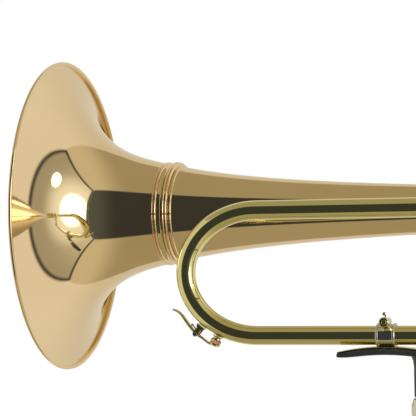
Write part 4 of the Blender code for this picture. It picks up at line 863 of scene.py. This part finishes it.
def build_rear_ring(start, mouth):
    """From the mouth: two beads side by side, a step down to the stem and a thin bead."""
    low, high, _ = box_of("stem_ring")
    first, end = low.x - start.x, high.x - start.x
    crest = (high.y - low.y) / 2
    seat = flare_radius(end, mouth) + SEAT_STAND
    line = [(crest - CREST_LIP, first)] + beads(CREST_BEADS, first, crest)
    line += [(seat + rise, first + place) for place, rise in SEAT_STEP] + beads(SEAT_BEADS, first, seat)
    line += [(seat - SEAT_UNDER, end), (seat - SEAT_UNDER, end - SEAT_LAP), (crest - RING_DEPTH, first)]
    stand_in(turned("stem_ring_fine", line, start, X_AXIS, True, BELL_STEPS, 0), GOLD, "stem_ring")


# Tubes and bows

def build_outer_tube(name, bow_end):
    """A straight leg of the hand slide, flush with its bow, with a ring at its open end."""
    low, high, centre = box_of(name)
    outer = (high.y - low.y) / 2 - RING_HEIGHT
    length = high.x - bow_end
    ring_start, ring_end = length - END_RING[0], length - END_RING[1]
    line = [(outer - OUTER_TUBE_WALL, 0.0), (outer, 0.0), (outer, ring_start)]
    line += bead(ring_start, ring_start + END_RING_BEAD, outer, outer, RING_HEIGHT)
    line += [(outer + RING_GROUND, ring_start + END_RING_GAP), (outer + RING_GROUND, ring_end - END_RING_GAP)]
    line += bead(ring_end - END_RING_BEAD, ring_end, outer, outer, RING_HEIGHT)
    line += [(outer, length), (outer - OUTER_TUBE_WALL, length)]
    place = Vector((bow_end, centre.y, centre.z))
    stand_in(turned(name + "_fine", line, place, X_AXIS, True, TURN_STEPS, 0), YELLOW, name)
    return outer


def build_slide_bow():
    low, high, centre = box_of("slide_bow")
    outer = (high.y - low.y) / 2
    start = high.x - BOW_LEAD
    half = Vector((0, 0, (high.z - low.z) / 2 - outer))
    line = half_ellipse(Vector((start, centre.y, centre.z)), start - low.x - outer, half, -1, BOW_LEAD,
                        BOW_STEPS)
    lower = build_outer_tube("lower_outer_tube", high.x)
    upper = build_outer_tube("upper_outer_tube", high.x)
    tube("slide_bow", line, lower, Y_AXIS, upper)


def build_tuning_bow():
    low, high, centre = box_of("main_tuning_bow")
    outer = (high.z - low.z) / 2
    start = low.x + TUNING_BOW_LEAD
    half = Vector((0, (high.y - low.y) / 2 - outer, 0))
    line = half_ellipse(Vector((start, centre.y, centre.z)), high.x - start - outer, half, 1, TUNING_BOW_LEAD,
                        TUNING_BOW_STEPS)
    tube("main_tuning_bow", line, outer, Z_AXIS)


def build_loop_tube(name, bend):
    """From a valve's port outwards, then forwards beside the bell."""
    low, high, centre = box_of(name)
    outer = (high.z - low.z) / 2
    port = Vector((high.x - outer, low.y, centre.z))
    corner = Vector((port.x - bend, high.y - outer - bend, centre.z))
    turn = [math.pi / 2 * i / LOOP_STEPS for i in range(LOOP_STEPS + 1)]
    line = [port] + [corner + Vector((math.cos(a), math.sin(a), 0)) * bend for a in turn]
    tube(name, line + [Vector((low.x, high.y - outer, centre.z))], outer, Z_AXIS)


def build_valve_slide(name):
    """A bow with two inner legs, one shape as in the model."""
    low, high, centre = box_of(name)
    outer = (high.z - low.z) / 2
    half = (high.y - low.y) / 2 - outer
    start = Vector((low.x + outer + half, centre.y, centre.z))
    turn = [-math.pi / 2 + math.pi * i / VALVE_BOW_STEPS for i in range(VALVE_BOW_STEPS + 1)]
    bow = [start + Vector((-half * math.cos(a), half * math.sin(a), 0)) for a in turn]
    lead = X_AXIS * BOW_LEAD
    legs = [[end, Vector((high.x, end.y, end.z))] for end in (bow[0], bow[-1])]
    works = []
    for line, radius in (([bow[0] + lead] + bow + [bow[-1] + lead], outer), (legs[0], VALVE_LEG),
                         (legs[1], VALVE_LEG)):
        size = [2 * radius] * len(line)
        works.append(strap(line, Z_AXIS, size, size, 32, 1.0))
    stand_in(together(name + "_fine", *works), YELLOW, name)


def build_bows():
    build_slide_bow()
    build_tuning_bow()
    for number in (1, 2):
        for part, bend in LOOP_BENDS:
            build_loop_tube(f"valve_{number}_{part}_loop_tube", bend)
        build_valve_slide(f"valve_{number}_tuning_slide")


# Small parts of the hand slide

def build_water_key():
    """Its nipple sits square on the slide bow, and its lever runs from the cork round the pin."""
    low, high, _ = box_of("slide_bow")
    outer = (high.y - low.y) / 2
    start = high.x - BOW_LEAD
    reach = start - low.x - outer
    angle = math.radians(DRAIN_ANGLE)
    x, z = -reach * math.cos(angle), BOW_HEIGHT * math.sin(angle)
    normal = Vector((x / reach ** 2, 0, z / BOW_HEIGHT ** 2)).normalized()
    foot = Vector((start + x, 0, z)) + normal * (outer + DRAIN_SEAT)
    cork_place = foot + normal * CORK_PLACE
    cup_place = cork_place + normal * CUP_PLACE
    pin = box_of("water_key_screw")[2]
    stand_in(turned("drain_nipple_fine", NIPPLE, foot, normal, True, SMALL_STEPS, 0.0002),
             YELLOW, "drain_nipple")
    stand_in(turned("water_key_cork_fine", DISC, cork_place, normal, False, SMALL_STEPS, 0.0004),
             CORK, "water_key_cork")
    line = smooth_line(places(pin, LEVER_LINE) + [cup_place + normal * LEVER_END])
    count = len(line)
    wide = [LEVER_WIDTH - LEVER_NARROWING * i / count for i in range(count)]
    stand_in(together(
        "water_key_lever_fine", strap(line, Y_AXIS, wide, swell(count, *LEVER_THICK), 24, 0.8),
        turned_work(EYE, pin, Y_AXIS, False, 48, 0.0004),
        turned_work(CUP, cup_place, normal, False, SMALL_STEPS, 0)),
        YELLOW, "water_key_lever")
    hook = places(pin, SPRING_LINE)
    line = smooth_line(hook)
    size = [SPRING_THICK] * len(line)
    turn = [math.pi * i / BALL_STEPS for i in range(1, BALL_STEPS)]
    ball = [(0.0, SPRING_BALL)]
    ball += [(SPRING_BALL * math.sin(a), SPRING_BALL * math.cos(a)) for a in turn]
    ball.append((0.0, -SPRING_BALL))
    stand_in(together("water_key_spring_fine", strap(line, Y_AXIS, size, size, 12, 1.0),
                      turned_work(ball, hook[0], Y_AXIS, False, 24, 0)), STEEL, "water_key_spring")


def build_collar():
    """A ring with a bead at each end, a block down to the hand rest, and a lug with a hook on top."""
    low, high, centre = box_of("handle_collar")
    middle = Vector((centre.x, 0, -BOW_HEIGHT))
    half = (high.x - low.x) / 2
    raised = COLLAR_SKIN + COLLAR_BEAD
    eased = COLLAR_SKIN + COLLAR_BEAD / 3
    rise, fall, skin = COLLAR_STEPS
    ring = [(eased, half), (raised, half - rise), (raised, half - fall), (COLLAR_SKIN, half - skin),
            (COLLAR_SKIN, skin - half), (raised, fall - half), (raised, rise - half), (eased, -half),
            (COLLAR_BORE, -half), (COLLAR_BORE, half)]
    top, foot = BLOCK_SINK - COLLAR_SKIN, low.z + BOW_HEIGHT
    block = [middle + Z_AXIS * z for z in (top, top - BLOCK_EASE[0], foot + BLOCK_EASE[1], foot)]
    lug_place = middle + Z_AXIS * LUG_HEIGHT
    hook = smooth_line(places(lug_place, HOOK_LINE, HOOK_FRONT), 4)
    count = len(hook)
    stand_in(together(
        "handle_collar_fine", turned_work(ring, middle, X_AXIS, True, 128, 0.0002),
        strap(block, Y_AXIS, [COLLAR_BLOCK[0]] * 4, [COLLAR_BLOCK[1]] * 4, 32, 0.35),
        turned_work(LUG, lug_place, Y_AXIS, False, 48, 0.0002),
        strap(hook, Y_AXIS, [HOOK_WIDTH] * count, swell(count, *HOOK_THICK), 16, 0.9)),
        NICKEL, "handle_collar")


def arch(radius, left, right, top, count=48):
    """A line over part of a circle in the plane of the slide, with its crown at zero X."""
    spread = (math.asin(-left / radius), math.asin(right / radius))
    found = []
    for i in range(count + 1):
        angle = -spread[0] + (spread[0] + spread[1]) * i / count
        found.append(Vector((radius * math.sin(angle), 0, top - radius * (1 - math.cos(angle)))))
    return found


def build_hand_rest():
    """A brass plate with a leather pad under it that runs down as the sleeve of the post."""
    low, high, centre = box_of("hand_rest")
    crown = Vector((centre.x, 0, high.z + REST_LIFT))
    half = (high.x - low.x) / 2
    width = high.y - low.y
    plate = [crown + place for place in arch(REST_RADIUS, REST_CUT - half, half, PLATE_DROP)]
    count = len(plate)
    work = strap(plate, Y_AXIS, [width] * count, [PLATE_THICK] * count, 32, 0.8)
    stand_in(object_from("hand_rest_fine", work), YELLOW, "hand_rest")
    foot = box_of("hand_rest_leather")[0].z
    thick = [PAD_THICK - PAD_THINNING * abs(2 * i / (count - 1) - 1) ** 6 for i in range(count)]
    under = arch(REST_RADIUS, REST_CUT - half - PAD_LAP, half + PAD_LAP, PAD_DROP)
    pad = [crown + place - Z_AXIS * size / 2 for place, size in zip(under, thick)]
    post = box_of("handle_core")[2]
    sleeve = [(radius, crown.z - depth) for radius, depth in SLEEVE_TOP]
    sleeve += [(radius, foot + height) for radius, height in SLEEVE_FOOT]
    stand_in(together(
        "hand_rest_leather_fine", strap(pad, Y_AXIS, [width + PAD_WIDER] * count, thick, 40, 0.42),
        turned_work(sleeve, Vector((post.x, post.y, 0)), Z_AXIS, False, SMALL_STEPS, 0.0003)),
        LEATHER, "hand_rest_leather")


# Nodes that keep the model's shape

def build_turned():
    """Made again with many more sides."""
    for name in ("stem_tuning_sleeve", "gooseneck_tuning_sleeve"):
        returned(name, YELLOW)
    for name in ("upper_inner_tube", "lower_inner_tube", "upper_cork_barrel", "lower_cork_barrel",
                 "mouthpiece_receiver", "bell_receiver", "bell_lock_nut", "bell_side_tuning_leg",
                 "gooseneck_side_tuning_leg"):
        returned(name, NICKEL)
    returned("mouthpiece", SILVER, X_AXIS, 0.0008)
    returned("hand_grip_brace", NICKEL, Z_AXIS, 0.0008)
    returned("outer_slide_brace", YELLOW, Z_AXIS, 0.0008)
    for name in ("main_tuning_brace", "rear_bell_brace"):
        returned(name, YELLOW, Y_AXIS, 0.0006)
    returned("handle_core", YELLOW, Z_AXIS)
    for name in ("handle_ferrule", "handle_cap"):
        returned(name, NICKEL, Z_AXIS, 0.0010)
    returned("collar_screw", YELLOW, Y_AXIS)
    returned("water_key_screw", STEEL, Y_AXIS)
    for number in (1, 2):
        returned(f"lever_{number}_post", YELLOW, Y_AXIS)
        returned(f"valve_{number}_bearing_plate", YELLOW, Z_AXIS)


def build_rest():
    """Given soft edges."""
    for name in ("slide_lock_ring", "valve_1_rotor", "valve_2_rotor"):
        dressed(name, NICKEL)
    for name in ("water_key_saddle", "front_bell_brace"):
        dressed(name, YELLOW)
    dressed("handle_grip", WOOD, 0.0008, 3)
    for number in (1, 2):
        for part in ("casing", "stop_arm"):
            dressed(f"valve_{number}_{part}", YELLOW)
        dressed(f"valve_{number}_link", STEEL)
        dressed(f"thumb_lever_{number}", YELLOW)


build_camera()
build_world()
build_floor()
build_lights()
build_bell()
build_bows()
build_turned()
build_water_key()
build_collar()
build_hand_rest()
build_rest()

bpy.context.scene.view_settings.view_transform = "Standard"
